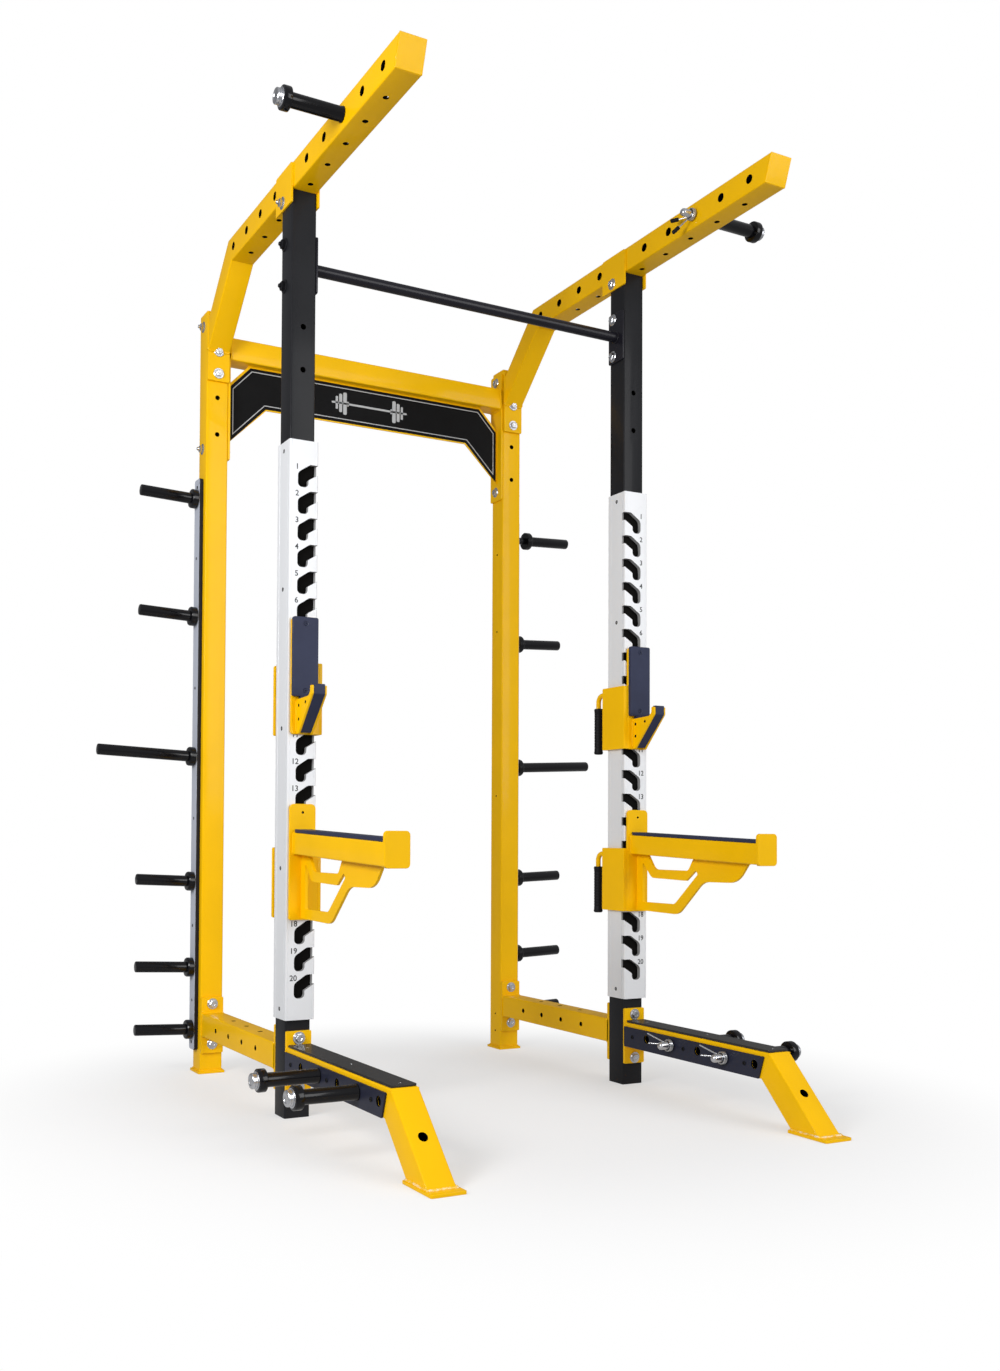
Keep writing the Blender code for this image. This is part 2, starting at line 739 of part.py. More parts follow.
def j_hook(side):
    low, wrap_high, high = 1.079, 1.283, 1.406
    x = unit_x(side)
    plate = slab("hook_plate", rectangle(x - 0.038, x + 0.038, low, high, 0.006), ACROSS_Y,
                 -(HOOK_BACK_Y - PLATE / 2), PLATE)
    y = HOOK_FACE_Y
    cheek = [
        (y + 0.004, low + 0.001),
        (y + 0.004, 1.176),
        (y - 0.084, 1.180),
        (y - 0.096, 1.189),
        (y - 0.0975, 1.207),
        (y - 0.111, 1.207),
        (y - 0.111, 1.183),
        (y - 0.0155, low + 0.001),
    ]
    cheeks = [slab("cup_cheek", cheek, ACROSS_X, x + face * 0.0195, 0.006) for face in (-1, 1)]
    join(plate, *wrap("hook", side, low + 0.001, wrap_high, (9, 10)), *cheeks)
    finish(side_name("j_hook_bracket", side), plate, YELLOW)

    pad = slab("pad", rectangle(x - 0.0385, x + 0.0385, CUP_Z + GAP, high + 0.004, 0.005), ACROSS_Y,
               -(HOOK_FACE_Y - GAP - 0.006), 0.012)
    finish(side_name("j_hook_pad", side), pad, PLASTIC)

    core = [
        (y - GAP, low + 0.005),
        (y - GAP, CUP_Z),
        (y - 0.090, CUP_Z),
        (y - 0.096, CUP_Z + 0.006),
        (y - 0.096, 1.211),
        (y - 0.1125, 1.211),
        (y - 0.1125, 1.182),
        (y - 0.0165, low + 0.005),
    ]
    finish(side_name("j_hook_cup_liner", side), slab("core", core, ACROSS_X, x, 0.0325), PLASTIC)
    handle_grip("j_hook_grip", side, wrap_high)


def arm_z(y):
    """Height of the spotter arm's centre line."""
    return 0.7715 - (HOOK_FACE_Y - y) * math.tan(ARM_DROP)


def spotter_arm(side):
    low, wrap_high, high = 0.557, 0.760, 0.883
    x = unit_x(side)
    corners = ((x - 0.039, low, 0.004), (x + 0.039, low, 0.004), (x + 0.039, high, 0.012), (x - 0.039, high, 0.012))
    plate = slab("spot_plate", rounded(corners, 3), ACROSS_Y, -(HOOK_BACK_Y - PLATE / 2), PLATE)
    y0, y1 = HOOK_FACE_Y, FRONT_Y - 0.645
    half = 0.030
    outline = [
        (y0 + 0.003, arm_z(y0) - half),
        (y0 + 0.003, arm_z(y0) + half),
        (y1 - 0.003, arm_z(y1) + half),
        (y1 - 0.003, arm_z(y1) - half),
    ]
    arm = slab("spot_arm", outline, ACROSS_X, x, 2 * half)
    bore_line = [
        (y0 - 0.006, arm_z(y0) + half - WALL),
        (y0 - 0.006, arm_z(y0) - half + WALL),
        (y1 + 0.006, arm_z(y1) - half + WALL),
        (y1 + 0.006, arm_z(y1) + half - WALL),
    ]
    bore = slab("spot_bore", bore_line, ACROSS_X, x, 2 * half - 2 * WALL)
    stop_outline = rectangle(x - 0.035, x + 0.035, 0.716, 0.807, 0.010, 3)
    stop = slab("spot_stop", stop_outline, ACROSS_Y, -(y1 - 0.005), 0.010)
    gusset = spotter_gusset(x)
    vent = rod("spot_vent", (x, y1 + 0.025, arm_z(y1) - half - 0.01), (x, y1 + 0.025, arm_z(y1)), 0.004, 8)
    pin_hole = rod("spot_hole", (x, HOOK_BACK_Y + 0.01, 0.859), (x, HOOK_FACE_Y - 0.01, 0.859), 0.003, 8)
    join(plate, arm, stop, gusset, *wrap("spot", side, low + 0.001, wrap_high, (16, 17)))
    cut(plate, bore, vent, pin_hole)
    finish(side_name("spotter_arm", side), plate, YELLOW)

    top = half + GAP
    cover = [
        (y0 - 0.002, arm_z(y0) + top),
        (y0 - 0.002, arm_z(y0) + top + 0.010),
        (y1 + 0.002, arm_z(y1) + top + 0.010),
        (y1 + 0.002, arm_z(y1) + top),
    ]
    finish(side_name("spotter_arm_strip", side), slab("cover", cover, ACROSS_X, x, 0.050), PLASTIC)
    handle_grip("spotter_arm_grip", side, wrap_high)


def spotter_gusset(x):
    """The flat web under the arm, with its two windows. Heights follow the arm where it meets it."""
    y = FRONT_Y
    outer = rounded(
        (
            (HOOK_FACE_Y + 0.004, 0.562, 0),
            (HOOK_FACE_Y + 0.004, 0.750, 0),
            (y - 0.590, 0.732, 0),
            (y - 0.535, 0.664, 0.045),
            (y - 0.385, 0.662, 0.040),
            (y - 0.270, 0.558, 0.030),
        ),
        3,
    )
    upper = rounded(
        (
            (y - 0.120, 0.7415, 0.002),
            (y - 0.155, 0.694, 0.015),
            (y - 0.316, 0.694, 0.012),
            (y - 0.342, 0.733, 0.002),
        ),
        2,
    )
    lower = rounded(
        (
            (y - 0.095, 0.589, 0.002),
            (y - 0.095, 0.716, 0.002),
            (y - 0.140, 0.667, 0.015),
            (y - 0.308, 0.663, 0.008),
            (y - 0.352, 0.696, 0.004),
            (y - 0.361, 0.684, 0.004),
            (y - 0.252, 0.589, 0.015),
        ),
        2,
    )
    return slab("gusset", outer, ACROSS_X, x, 0.008, (upper, lower))


clear_scene()
PARTS = make_collection("power_cage")
CUTTERS = make_collection("cutters")

pull_up_bar()
rear_crossmember()
for unit in (-1, 1):
    rear_upright(unit)
    front_upright(unit)
    hook_sleeve(unit)
    base_connector(unit)
    front_leg(unit)
    top_side_member(unit)
    storage(unit)
    band_pegs(unit)
    j_hook(unit)
    spotter_arm(unit)
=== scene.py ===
import math

import bmesh
import bpy
from mathutils import Matrix, Vector


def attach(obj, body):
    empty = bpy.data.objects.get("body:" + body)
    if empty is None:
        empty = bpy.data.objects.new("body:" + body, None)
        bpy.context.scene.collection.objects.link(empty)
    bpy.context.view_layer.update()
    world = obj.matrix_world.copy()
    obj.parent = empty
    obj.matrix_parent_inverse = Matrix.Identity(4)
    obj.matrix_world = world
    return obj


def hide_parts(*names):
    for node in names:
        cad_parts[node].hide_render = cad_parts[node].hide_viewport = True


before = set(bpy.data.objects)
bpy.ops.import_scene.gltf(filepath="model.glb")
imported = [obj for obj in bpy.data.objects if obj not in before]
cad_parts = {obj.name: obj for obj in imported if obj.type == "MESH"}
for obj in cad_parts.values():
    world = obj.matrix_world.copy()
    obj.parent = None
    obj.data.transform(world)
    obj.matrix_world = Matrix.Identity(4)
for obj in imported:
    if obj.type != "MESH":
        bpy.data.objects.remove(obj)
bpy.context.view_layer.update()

# Sizes shared with the CAD source, in metres
TUBE = 0.0762
HALF = TUBE / 2
WALL = 0.0048
PLATE = 0.010
GAP = 0.0003
SPACING = 1.168
FRONT_Y = 0.060
REAR_Y = 0.812
PITCH = 0.1205
HOLE_R = 0.0128
REAR_HEIGHT = 2.565
BEAM_Z = 0.163
TOP_Z = 2.680
SLEEVE_LOW, SLEEVE_HIGH = 0.2755, 1.918
SLEEVE_FRONT = 0.0137
SLEEVE_HALF = HALF + GAP + 0.0056
SLEEVE_FACE = FRONT_Y - HALF - GAP - SLEEVE_FRONT
SLOT_PITCH = 0.0762
SLOT_1 = 1.7835
SLOT_OUTER, SLOT_INNER = -0.0185, 0.0138
BAR_Z = 2.437
CROSS_Z = 2.450
CUP_Z = 1.185
HOOK_BACK = SLEEVE_FACE - 0.002
HOOK_FACE = HOOK_BACK - PLATE
WRAP_NEAR = SLEEVE_HALF + 0.0025
WRAP_FAR = WRAP_NEAR + PLATE
WRAP_REAR = FRONT_Y + HALF + 0.004
GRIP_Y = WRAP_REAR + 0.048
GRIP_IN = 0.044
RAIL_T = 0.014
RAIL_Y = REAR_Y + 0.0115
PEG_TILT = math.radians(2.5)
ARM_HOLES = [FRONT_Y + 0.460 - PITCH * k for k in range(10)]
LEG_HOLES = [FRONT_Y - 0.165 - PITCH * k for k in range(5)]
COVER = 0.005
SADDLE = 0.006
PAD = 0.012
STRIP_T = 0.010
FOOT = 0.008
SIDES = ((-1, "left"), (1, "right"))
X, Y, Z = Vector((1, 0, 0)), Vector((0, 1, 0)), Vector((0, 0, 1))


def ux(side, inward=0.0):
    """X on one unit, counted inwards from the centre of its uprights."""
    return side * (SPACING / 2 - inward)


def linked(name, data):
    """A new object in the scene."""
    obj = bpy.data.objects.new(name, data)
    bpy.context.scene.collection.objects.link(obj)
    return obj


# ---------------------------------------------------------------- materials


RELIEF_DEPTH = 0.0004


def node(tree, kind, **values):
    made = tree.nodes.new(kind)
    for key, value in values.items():
        if key in made.inputs:
            made.inputs[key].default_value = value
        else:
            setattr(made, key.lower(), value)
    return made


def map_range(tree, source, from_min, from_max, to_min, to_max):
    made = node(tree, "ShaderNodeMapRange",
                **{"From Min": from_min, "From Max": from_max, "To Min": to_min, "To Max": to_max})
    tree.links.new(source, made.inputs["Value"])
    return made


def finish_material(name, colour, rough, metal=0.0, tone=0.06, tone_scale=4.0, stretch=(1, 1, 1),
                    grain=650.0, bump=0.12, rough_vary=0.08, coat=0.0, specular=0.5,
                    scuff_and_glint=0.0, scuff_and_glint_colour=(0.5, 0.5, 0.5), scuff_and_glint_from=0.60):
    """A surface whose tone, roughness and fine relief all come from noise in the piece's own space."""
    mat = bpy.data.materials.new(name)
    mat.use_nodes = True
    tree = mat.node_tree
    shader = tree.nodes["Principled BSDF"]
    link = tree.links.new
    place = tree.nodes.new("ShaderNodeTexCoord")
    warp = tree.nodes.new("ShaderNodeMapping")
    warp.inputs["Scale"].default_value = stretch
    link(place.outputs["Object"], warp.inputs["Vector"])

    broad = node(tree, "ShaderNodeTexNoise", Scale=tone_scale, Detail=4.0, Roughness=0.55)
    fine = node(tree, "ShaderNodeTexNoise", Scale=grain, Detail=3.0, Roughness=0.6)
    link(warp.outputs["Vector"], broad.inputs["Vector"])
    link(warp.outputs["Vector"], fine.inputs["Vector"])

    ramp = tree.nodes.new("ShaderNodeValToRGB")
    ramp.color_ramp.elements[0].position = 0.3
    ramp.color_ramp.elements[1].position = 0.72
    ramp.color_ramp.elements[0].color = (*[c * (1 - tone) for c in colour], 1)
    ramp.color_ramp.elements[1].color = (*[min(1, c * (1 + tone * 0.6)) for c in colour], 1)
    link(broad.outputs["Fac"], ramp.inputs["Fac"])
    colour_out = ramp.outputs["Color"]

    span = map_range(tree, fine.outputs["Fac"], 0.25, 0.75,
                     max(0.02, rough - rough_vary), min(1.0, rough + rough_vary))

    # Noise-placed patches of a second colour: real scuffs on most finishes, and painted highlights as glints
    # on the weld bead.
    if scuff_and_glint > 0:
        marks = node(tree, "ShaderNodeTexNoise", Scale=38.0, Detail=8.0, Roughness=0.75)
        link(place.outputs["Object"], marks.inputs["Vector"])
        edge = map_range(tree, marks.outputs["Fac"], scuff_and_glint_from, scuff_and_glint_from + 0.14, 0.0, scuff_and_glint)
        blend = tree.nodes.new("ShaderNodeMix")
        blend.data_type = "RGBA"
        blend.inputs[7].default_value = (*scuff_and_glint_colour, 1)
        link(edge.outputs["Result"], blend.inputs[0])
        link(colour_out, blend.inputs[6])
        colour_out = blend.outputs[2]

    link(colour_out, shader.inputs["Base Color"])
    link(span.outputs["Result"], shader.inputs["Roughness"])
    relief = tree.nodes.new("ShaderNodeBump")
    relief.inputs["Strength"].default_value = bump
    relief.inputs["Distance"].default_value = RELIEF_DEPTH
    link(fine.outputs["Fac"], relief.inputs["Height"])
    link(relief.outputs["Normal"], shader.inputs["Normal"])
    shader.inputs["Metallic"].default_value = metal
    shader.inputs["Specular IOR Level"].default_value = specular
    shader.inputs["Coat Weight"].default_value = coat
    shader.inputs["Coat Roughness"].default_value = 0.10
    mat.diffuse_color = (*colour, 1)
    return mat


YELLOW = finish_material("yellow powder coat", (0.95, 0.53, 0.0), 0.40, tone=0.05, tone_scale=5,
                         grain=700, bump=0.16, specular=0.08, coat=0.16)
# Painted highlights: near-white noise patches on the foot weld beads stand in for glints of light.
GLINT_PAINTED_WELD = finish_material("weld bead with painted glints", (0.95, 0.58, 0.03), 0.30, tone=0.08, tone_scale=60, grain=900,
                       bump=0.2, scuff_and_glint=0.9, scuff_and_glint_colour=(0.95, 0.92, 0.82), scuff_and_glint_from=0.47)
BLACK = finish_material("black powder coat", (0.014, 0.0145, 0.017), 0.38, tone=0.2, grain=800,
                        bump=0.18, rough_vary=0.06, specular=0.10, coat=0.10)
BLUE_BLACK = finish_material("black gloss paint", (0.011, 0.0105, 0.016), 0.28, tone=0.15, grain=500,
                             bump=0.08, specular=0.24)
PEG_BLACK = finish_material("black peg enamel", (0.0025, 0.0025, 0.004), 0.20, tone=0.2, grain=500,
                            bump=0.04, rough_vary=0.05, specular=0.16, coat=0.35)
ALUMINIUM = finish_material("brushed aluminium", (0.80, 0.81, 0.83), 0.45, metal=0.18, tone=0.10,
                            tone_scale=3, stretch=(1, 1, 0.05), grain=900, bump=0.10, rough_vary=0.10,
                            scuff_and_glint=0.25, scuff_and_glint_colour=(0.58, 0.59, 0.62), specular=0.2)
# Painted shade: the slot walls take a darker copy of the aluminium, with machined grain, so they read as
# shaded.
SHADED_CUT_ALUMINIUM = finish_material("machined aluminium with painted shade", (0.30, 0.30, 0.30), 0.50, tone=0.1, tone_scale=60,
                                stretch=(0.05, 1, 1), grain=1200, bump=0.2, specular=0.2)
CUT_PLASTIC = finish_material("countersunk plastic", (0.085, 0.095, 0.14), 0.40, tone=0.12, tone_scale=30,
                              grain=600, bump=0.1)
PLASTIC = finish_material("wear plastic", (0.031, 0.037, 0.076), 0.46, tone=0.12, tone_scale=14,
                          grain=420, bump=0.12, scuff_and_glint=0.18, scuff_and_glint_colour=(0.075, 0.085, 0.125), specular=0.16)
RUBBER = finish_material("black rubber", (0.008, 0.008, 0.010), 0.55, tone=0.2, grain=900, bump=0.35,
                         rough_vary=0.1, specular=0.16)
STRIP = finish_material("smooth tread rubber", (0.027, 0.025, 0.024), 0.50, tone=0.2, grain=1000, bump=0.25,
                        specular=0.2, coat=0.2)
ZINC = finish_material("bright zinc", (0.66, 0.67, 0.70), 0.24, metal=1.0, tone=0.10, tone_scale=50,
                       grain=1500, bump=0.1, rough_vary=0.08)
SPRING = finish_material("spring steel", (0.58, 0.59, 0.61), 0.26, metal=1.0, tone=0.12, tone_scale=90,
                         grain=1600, bump=0.12)
CHARCOAL = finish_material("charcoal paint", (0.016, 0.016, 0.020), 0.44, tone=0.14, grain=700, bump=0.2,
                           specular=0.16)
PANEL = finish_material("navy black panel", (0.021, 0.023, 0.042), 0.40, tone=0.16, grain=600, bump=0.12,
                        specular=0.20)
FACING = finish_material("pale wear facing", (0.50, 0.53, 0.61), 0.50, tone=0.05, grain=600, bump=0.1,
                         scuff_and_glint=0.10, scuff_and_glint_colour=(0.34, 0.35, 0.40), specular=0.3)
FILM = finish_material("sign film", (0.0065, 0.0065, 0.0070), 0.45, tone=0.2, tone_scale=8, grain=260,
                       bump=0.05, specular=0.06)
PALE_INK = finish_material("pale grey ink", (0.46, 0.47, 0.48), 0.5, tone=0.05, grain=900, bump=0.05)
DARK_INK = finish_material("dark grey ink", (0.045, 0.046, 0.050), 0.5, tone=0.15, grain=900, bump=0.05,
                           specular=0.1)
# Painted shade: near-black stands in for the shadow inside tubes and holes, and on the tube face behind the
# sleeve.
PAINTED_SHADE_INSIDE = finish_material("painted shade inside tubes and holes", (0.006, 0.0055, 0.005), 0.8, tone=0.2, grain=300, bump=0.1,
                              specular=0.05)


# ---------------------------------------------------------------- solids


def turns(count):
    """Angles evenly spaced round a circle."""
    return [2 * math.pi * k / count for k in range(count)]


def rounded_loop(hw, hh, r, steps=4, at=(0.0, 0.0)):
    """Counter-clockwise points of a rectangle with round corners, from its half width and half height."""
    points = []
    for cx, cy, start in ((hw - r, hh - r, 0), (r - hw, hh - r, 1), (r - hw, r - hh, 2), (hw - r, r - hh, 3)):
        for k in range(steps + 1):
            a = math.pi / 2 * (start + k / steps)
            points.append((at[0] + (cx + r * math.cos(a)), at[1] + (cy + r * math.sin(a))))
    return points


def rounded(corners, steps):
    """An outline from (u, v, radius) corners, each turned into an arc of that radius."""
    points = []
    count = len(corners)
    for i, (u, v, radius) in enumerate(corners):
        here = Vector((u, v))
        if radius == 0:
            points.append((u, v))
            continue
        before = (Vector(corners[i - 1][:2]) - here).normalized()
        after = (Vector(corners[(i + 1) % count][:2]) - here).normalized()
        half = before.angle(after) / 2
        centre = here + (before + after).normalized() * radius / math.sin(half)
        arm = here + before * radius / math.tan(half) - centre
        turn = arm.angle_signed(here + after * radius / math.tan(half) - centre)
        for k in range(steps + 1):
            a = -turn * k / steps
            c, s = math.cos(a), math.sin(a)
            spun = Vector((arm.x * c - arm.y * s, arm.x * s + arm.y * c))
            points.append(tuple(centre + spun))
    return points


def panel(u0, u1, v0, v1, low_r, high_r, steps):
    """A rectangle between two corners, with one radius for its low corners and one for its high ones."""
    return rounded([(u0, v0, low_r), (u1, v0, low_r), (u1, v1, high_r), (u0, v1, high_r)], steps)


def cut_corners(a, b, low, high, r=0.004):
    """The eight points of a rectangle with its corners cut off."""
    return [(a, low + r), (a, high - r), (a + r, high), (b - r, high),
            (b, high - r), (b, low + r), (b - r, low), (a + r, low)]


def inset(points, distance):
    """A counter-clockwise outline moved inwards by the distance."""
    moved = []
    for i, point in enumerate(points):
        here = Vector(point)
        along = (here - Vector(points[i - 1])).normalized()
        onward = (Vector(points[(i + 1) % len(points)]) - here).normalized()
        left = Vector((-along.y, along.x))
        middle = (left + Vector((-onward.y, onward.x))).normalized()
        moved.append(tuple(here + middle * distance / middle.dot(left)))
    return moved


def spot(way, u, v, w):
    """A world point from outline coordinates: way names the axis the outline is extruded along."""
    return {"x": (w, u, v), "y": (u, w, v), "z": (u, v, w)}[way]


def prism(points, way, low, high):
    bm = bmesh.new()
    rings = [[bm.verts.new(spot(way, u, v, w)) for u, v in points] for w in (low, high)]
    count = len(points)
    for i in range(count):
        j = (i + 1) % count
        bm.faces.new((rings[0][i], rings[0][j], rings[1][j], rings[1][i]))
    bm.faces.new(rings[0][::-1])
    bm.faces.new(rings[1])
    return bm


def block(low, high):
    low, high = [min(a, b) for a, b in zip(low, high)], [max(a, b) for a, b in zip(low, high)]
    corners = ((low[0], low[1]), (high[0], low[1]), (high[0], high[1]), (low[0], high[1]))
    return prism(corners, "z", low[2], high[2])


def side_prism(side, outline, near, far):
    """An outline in Y and Z extruded between two inward distances."""
    return prism(outline, "x", *sorted((ux(side, near), ux(side, far))))


def unit_block(side, inward, ys, zs):
    return block((ux(side, inward[0]), ys[0], zs[0]), (ux(side, inward[1]), ys[1], zs[1]))


def lathe(profile, base, direction, steps):
    """A solid of revolution from (radius, height) points, standing on base along the direction."""
    turn = Vector(direction).to_track_quat("Z", "Y").to_matrix()
    bm = bmesh.new()
    rows = []
    for radius, height in profile:
        if radius == 0:
            rows.append([bm.verts.new(Vector(base) + turn @ Vector((0, 0, height)))])
            continue
        rows.append([
            bm.verts.new(Vector(base) + turn @ Vector((radius * math.cos(a), radius * math.sin(a), height)))
            for a in turns(steps)
        ])
    for a, b in zip(rows, rows[1:]):
        for k in range(steps):
            n = (k + 1) % steps
            corners = [a[k % len(a)], a[n % len(a)], b[n % len(b)], b[k % len(b)]]
            unique = list(dict.fromkeys(corners))
            if len(unique) > 2:
                bm.faces.new(unique)
    return bm


def drum(radius, length, base, way, steps):
    return lathe([(0, 0), (radius, 0), (radius, length), (0, length)], base, way, steps)


def rod(start, end, radius, steps=32):
    way = Vector(end) - Vector(start)
    return drum(radius, way.length, Vector(start), way, steps)


def square_tube(stations, width_way, half=HALF, corner=0.0045):
    """A hollow tube through pairs of (top, bottom) points, with its width along one direction."""
    outer = rounded_loop(half, half, corner)
    inner = rounded_loop(half - WALL, half - WALL, max(0.0012, corner - WALL))
    bm = bmesh.new()
    rings = []
    for top, bottom in stations:
        top, bottom = Vector(top), Vector(bottom)
        middle, up = (top + bottom) / 2, (top - bottom) / 2
        rings.append([
            [bm.verts.new(middle + width_way * a + up * (b / half)) for a, b in loop]
            for loop in (outer, inner)
        ])
    count = len(outer)
    for k in range(count):
        n = (k + 1) % count
        for one, two in zip(rings, rings[1:]):
            bm.faces.new((one[0][k], one[0][n], two[0][n], two[0][k]))
            # The inner walls take the second material, the dark painted shade.
            bm.faces.new((one[1][n], one[1][k], two[1][k], two[1][n])).material_index = 1
        for end in (rings[0], rings[-1]):
            bm.faces.new((end[0][k], end[0][n], end[1][n], end[1][k]))
    return bm


def sweep(points, radius, steps=10, closed=False, ripple=0.0):
    """A round wire along points, with round-ended caps. A ripple makes it a weld bead."""
    bm = bmesh.new()
    points = [Vector(p) for p in points]
    count = len(points)
    rings = []
    side = None
    for i, point in enumerate(points):
        before = points[i - 1] if i or closed else point
        after = points[(i + 1) % count] if i < count - 1 or closed else point
        along = (after - before).normalized()
        if side is None:
            side = along.orthogonal().normalized()
        side = (side - along * side.dot(along)).normalized()
        other = along.cross(side)
        r = radius * (1 + ripple * (1 if i % 2 else -1))
        rings.append([
            bm.verts.new(point + (side * math.cos(a) + other * math.sin(a)) * r)
            for a in turns(steps)
        ])
    for one, two in zip(rings, rings[1:] + ([rings[0]] if closed else [])):
        for k in range(steps):
            n = (k + 1) % steps
            bm.faces.new((one[k], one[n], two[n], two[k]))
    if not closed:
        for ring, end, neighbour in ((rings[0], points[0], points[1]), (rings[-1], points[-1], points[-2])):
            tip = bm.verts.new(end + (end - neighbour).normalized() * radius * 0.45)
            for k in range(steps):
                bm.faces.new((ring[k], ring[(k + 1) % steps], tip))
    return bm


def merge(*parts):
    whole = bmesh.new()
    for part in parts:
        mesh = bpy.data.meshes.new("part")
        part.to_mesh(mesh)
        part.free()
        whole.from_mesh(mesh)
        bpy.data.meshes.remove(mesh)
    return whole


def shaped(bm, cutters=(), bevel=0.0, segments=2, angle=30.0, sharp=None, inside=1):
    """The finished mesh of one solid: holes cut, edges rounded and shading split at sharp edges.

    The walls of the cuts take the piece's second material, or its first where inside is 0; unless a piece
    names another, the second material is the dark painted shade.
    """
    bmesh.ops.recalc_face_normals(bm, faces=bm.faces)
    mesh = bpy.data.meshes.new("shape")
    bm.to_mesh(mesh)
    bm.free()
    for _ in range(2):
        mesh.materials.append(None)
    obj = linked("shape", mesh)
    helpers = []
    for cutter in cutters:
        bmesh.ops.recalc_face_normals(cutter, faces=cutter.faces)
        for face in cutter.faces:
            face.material_index = inside
        tool_mesh = bpy.data.meshes.new("cutter")
        cutter.to_mesh(tool_mesh)
        cutter.free()
        for _ in range(2):
            tool_mesh.materials.append(None)
        tool = linked("cutter", tool_mesh)
        helpers.append(tool)
        cut = obj.modifiers.new("cut", "BOOLEAN")
        cut.operation = "DIFFERENCE"
        cut.solver = "EXACT"
        cut.object = tool
    if bevel:
        soften = obj.modifiers.new("soften", "BEVEL")
        soften.width = bevel
        soften.segments = segments
        soften.limit_method = "ANGLE"
        soften.angle_limit = math.radians(angle)
        soften.miter_outer = "MITER_ARC"
    graph = bpy.context.evaluated_depsgraph_get()
    done = bpy.data.meshes.new_from_object(obj.evaluated_get(graph))
    for helper in (obj, *helpers):
        old = helper.data
        bpy.data.objects.remove(helper, do_unlink=True)
        bpy.data.meshes.remove(old)
    bm = bmesh.new()
    bm.from_mesh(done)
    bmesh.ops.remove_doubles(bm, verts=bm.verts, dist=0.000002)
    for face in bm.faces:
        face.smooth = True
    limit = math.radians(sharp or (14.0 if bevel else 32.0))
    for edge in bm.edges:
        edge.smooth = edge.is_manifold and edge.calc_face_angle(0) < limit
    bm.to_mesh(done)
    bm.free()
    return done


def piece(name, body, material, slot, *solids, replaces=None, cut=None):
    """One visible piece from finished meshes, or from bmesh solids that need no more work."""
    whole = bmesh.new()
    for solid in solids:
        mesh = shaped(solid) if isinstance(solid, bmesh.types.BMesh) else solid
        whole.from_mesh(mesh)
        bpy.data.meshes.remove(mesh)
    mesh = bpy.data.meshes.new(name)
    whole.to_mesh(mesh)
    whole.free()
    obj = linked(name, mesh)
    mesh.materials.append(material)
    if any(face.material_index for face in mesh.polygons):
        # Faces marked for the second material take the dark painted shade unless a cut material is given.
        mesh.materials.append(cut or PAINTED_SHADE_INSIDE)
    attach(obj, body)
    if replaces:
        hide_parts(replaces)


def clad(node_name, suffix, body, material, slot, *solids, cut=None):
    """The piece that stands for one CAD node."""
    piece(f"{node_name}_{suffix}", body, material, slot, *solids, replaces=node_name, cut=cut)


# ---------------------------------------------------------------- fasteners and welds


WASHER_R = 0.0182


def washer_disc(point, way, radius):
    profile = [(0, 0), (radius, 0), (radius, 0.0018), (radius - 0.0012, 0.0028), (0, 0.0028)]
    return shaped(lathe(profile, point, way, 28), sharp=25)


def bolt(point, way):
    """A washer with a hexagon head on it, dished in the middle."""
    point, way = Vector(point), Vector(way).normalized()
    hex_r, head = 0.0125, 0.0088
    flange = hex_r * 1.12
    skirt = lathe([(0, 0.0026), (flange, 0.0026), (flange * 0.96, 0.0045), (0, 0.0045)], point, way, 24)
    crown = head + 0.0013
    cap = lathe([(0, 0.004), (hex_r, 0.004), (hex_r, head), (hex_r * 0.84, crown), (hex_r * 0.5, crown),
                 (hex_r * 0.42, head + 0.0004), (0, head + 0.0002)], point, way, 6)
    return [washer_disc(point, way, WASHER_R), shaped(skirt, sharp=25), shaped(cap, sharp=20)]


def nut(point, way, washer=WASHER_R, hex_r=0.0122, stub=0.006):
    """A washer, a nut and the end of the bolt through it."""
    point, way = Vector(point), Vector(way).normalized()
    body = lathe([(0, 0.0026), (hex_r, 0.0026), (hex_r, 0.0115), (hex_r * 0.86, 0.0125), (0, 0.0125)],
                 point, way, 6)
    end = lathe([(0, 0.012), (0.0058, 0.012), (0.0058, 0.0125 + stub), (0.0046, 0.0138 + stub),
                 (0, 0.0138 + stub)], point, way, 16)
    return [washer_disc(point, way, washer), shaped(body, sharp=20), shaped(end, sharp=25)]


def screw_head(point, way, radius, proud):
    """A flush socket screw: a low head with a round recess."""
    profile = [(0, 0.0), (radius, 0.0), (radius, proud * 0.6), (radius - 0.0007, proud),
               (radius * 0.5, proud), (radius * 0.45, proud * 0.2), (0, proud * 0.1)]
    return [shaped(lathe(profile, point, way, 20), sharp=25)]


def weld(points, radius=0.0030, closed=False, step=0.0042):
    """A rippled weld bead through the points."""
    points = [Vector(p) for p in points]
    legs = list(zip(points, points[1:] + ([points[0]] if closed else [])))
    dense = []
    for a, b in legs:
        count = max(1, round((b - a).length / step))
        dense.extend(a + (b - a) * k / count for k in range(count))
    if not closed:
        dense.append(points[-1])
    return shaped(sweep(dense, radius, 8, closed, ripple=0.16), sharp=70)


def upright_weld(x, y, low, high, radius):
    return weld([(x, y, low), (x, y, high)], radius)


def frame_weld(side, inward, y, zs, radius=0.003):
    """A weld round a square tube where it meets a plate that faces along Y."""
    return weld([(ux(side, s), y, z) for s, z in cut_corners(*inward, *zs)], radius, closed=True)


def holes_x(side, places, radius, reach=HALF + 0.03, steps=32):
    return merge(*[rod((ux(side, -reach), y, z), (ux(side, reach), y, z), radius, steps) for y, z in places])


# ---------------------------------------------------------------- uprights and sleeves


def upright(side, y, *heights):
    return square_tube([((ux(side), y - HALF, z), (ux(side), y + HALF, z)) for z in heights], X)


def front_wall_holes(side, y, heights, radius):
    return merge(*[rod((ux(side), y - 0.06, z), (ux(side), y, z), radius) for z in heights])


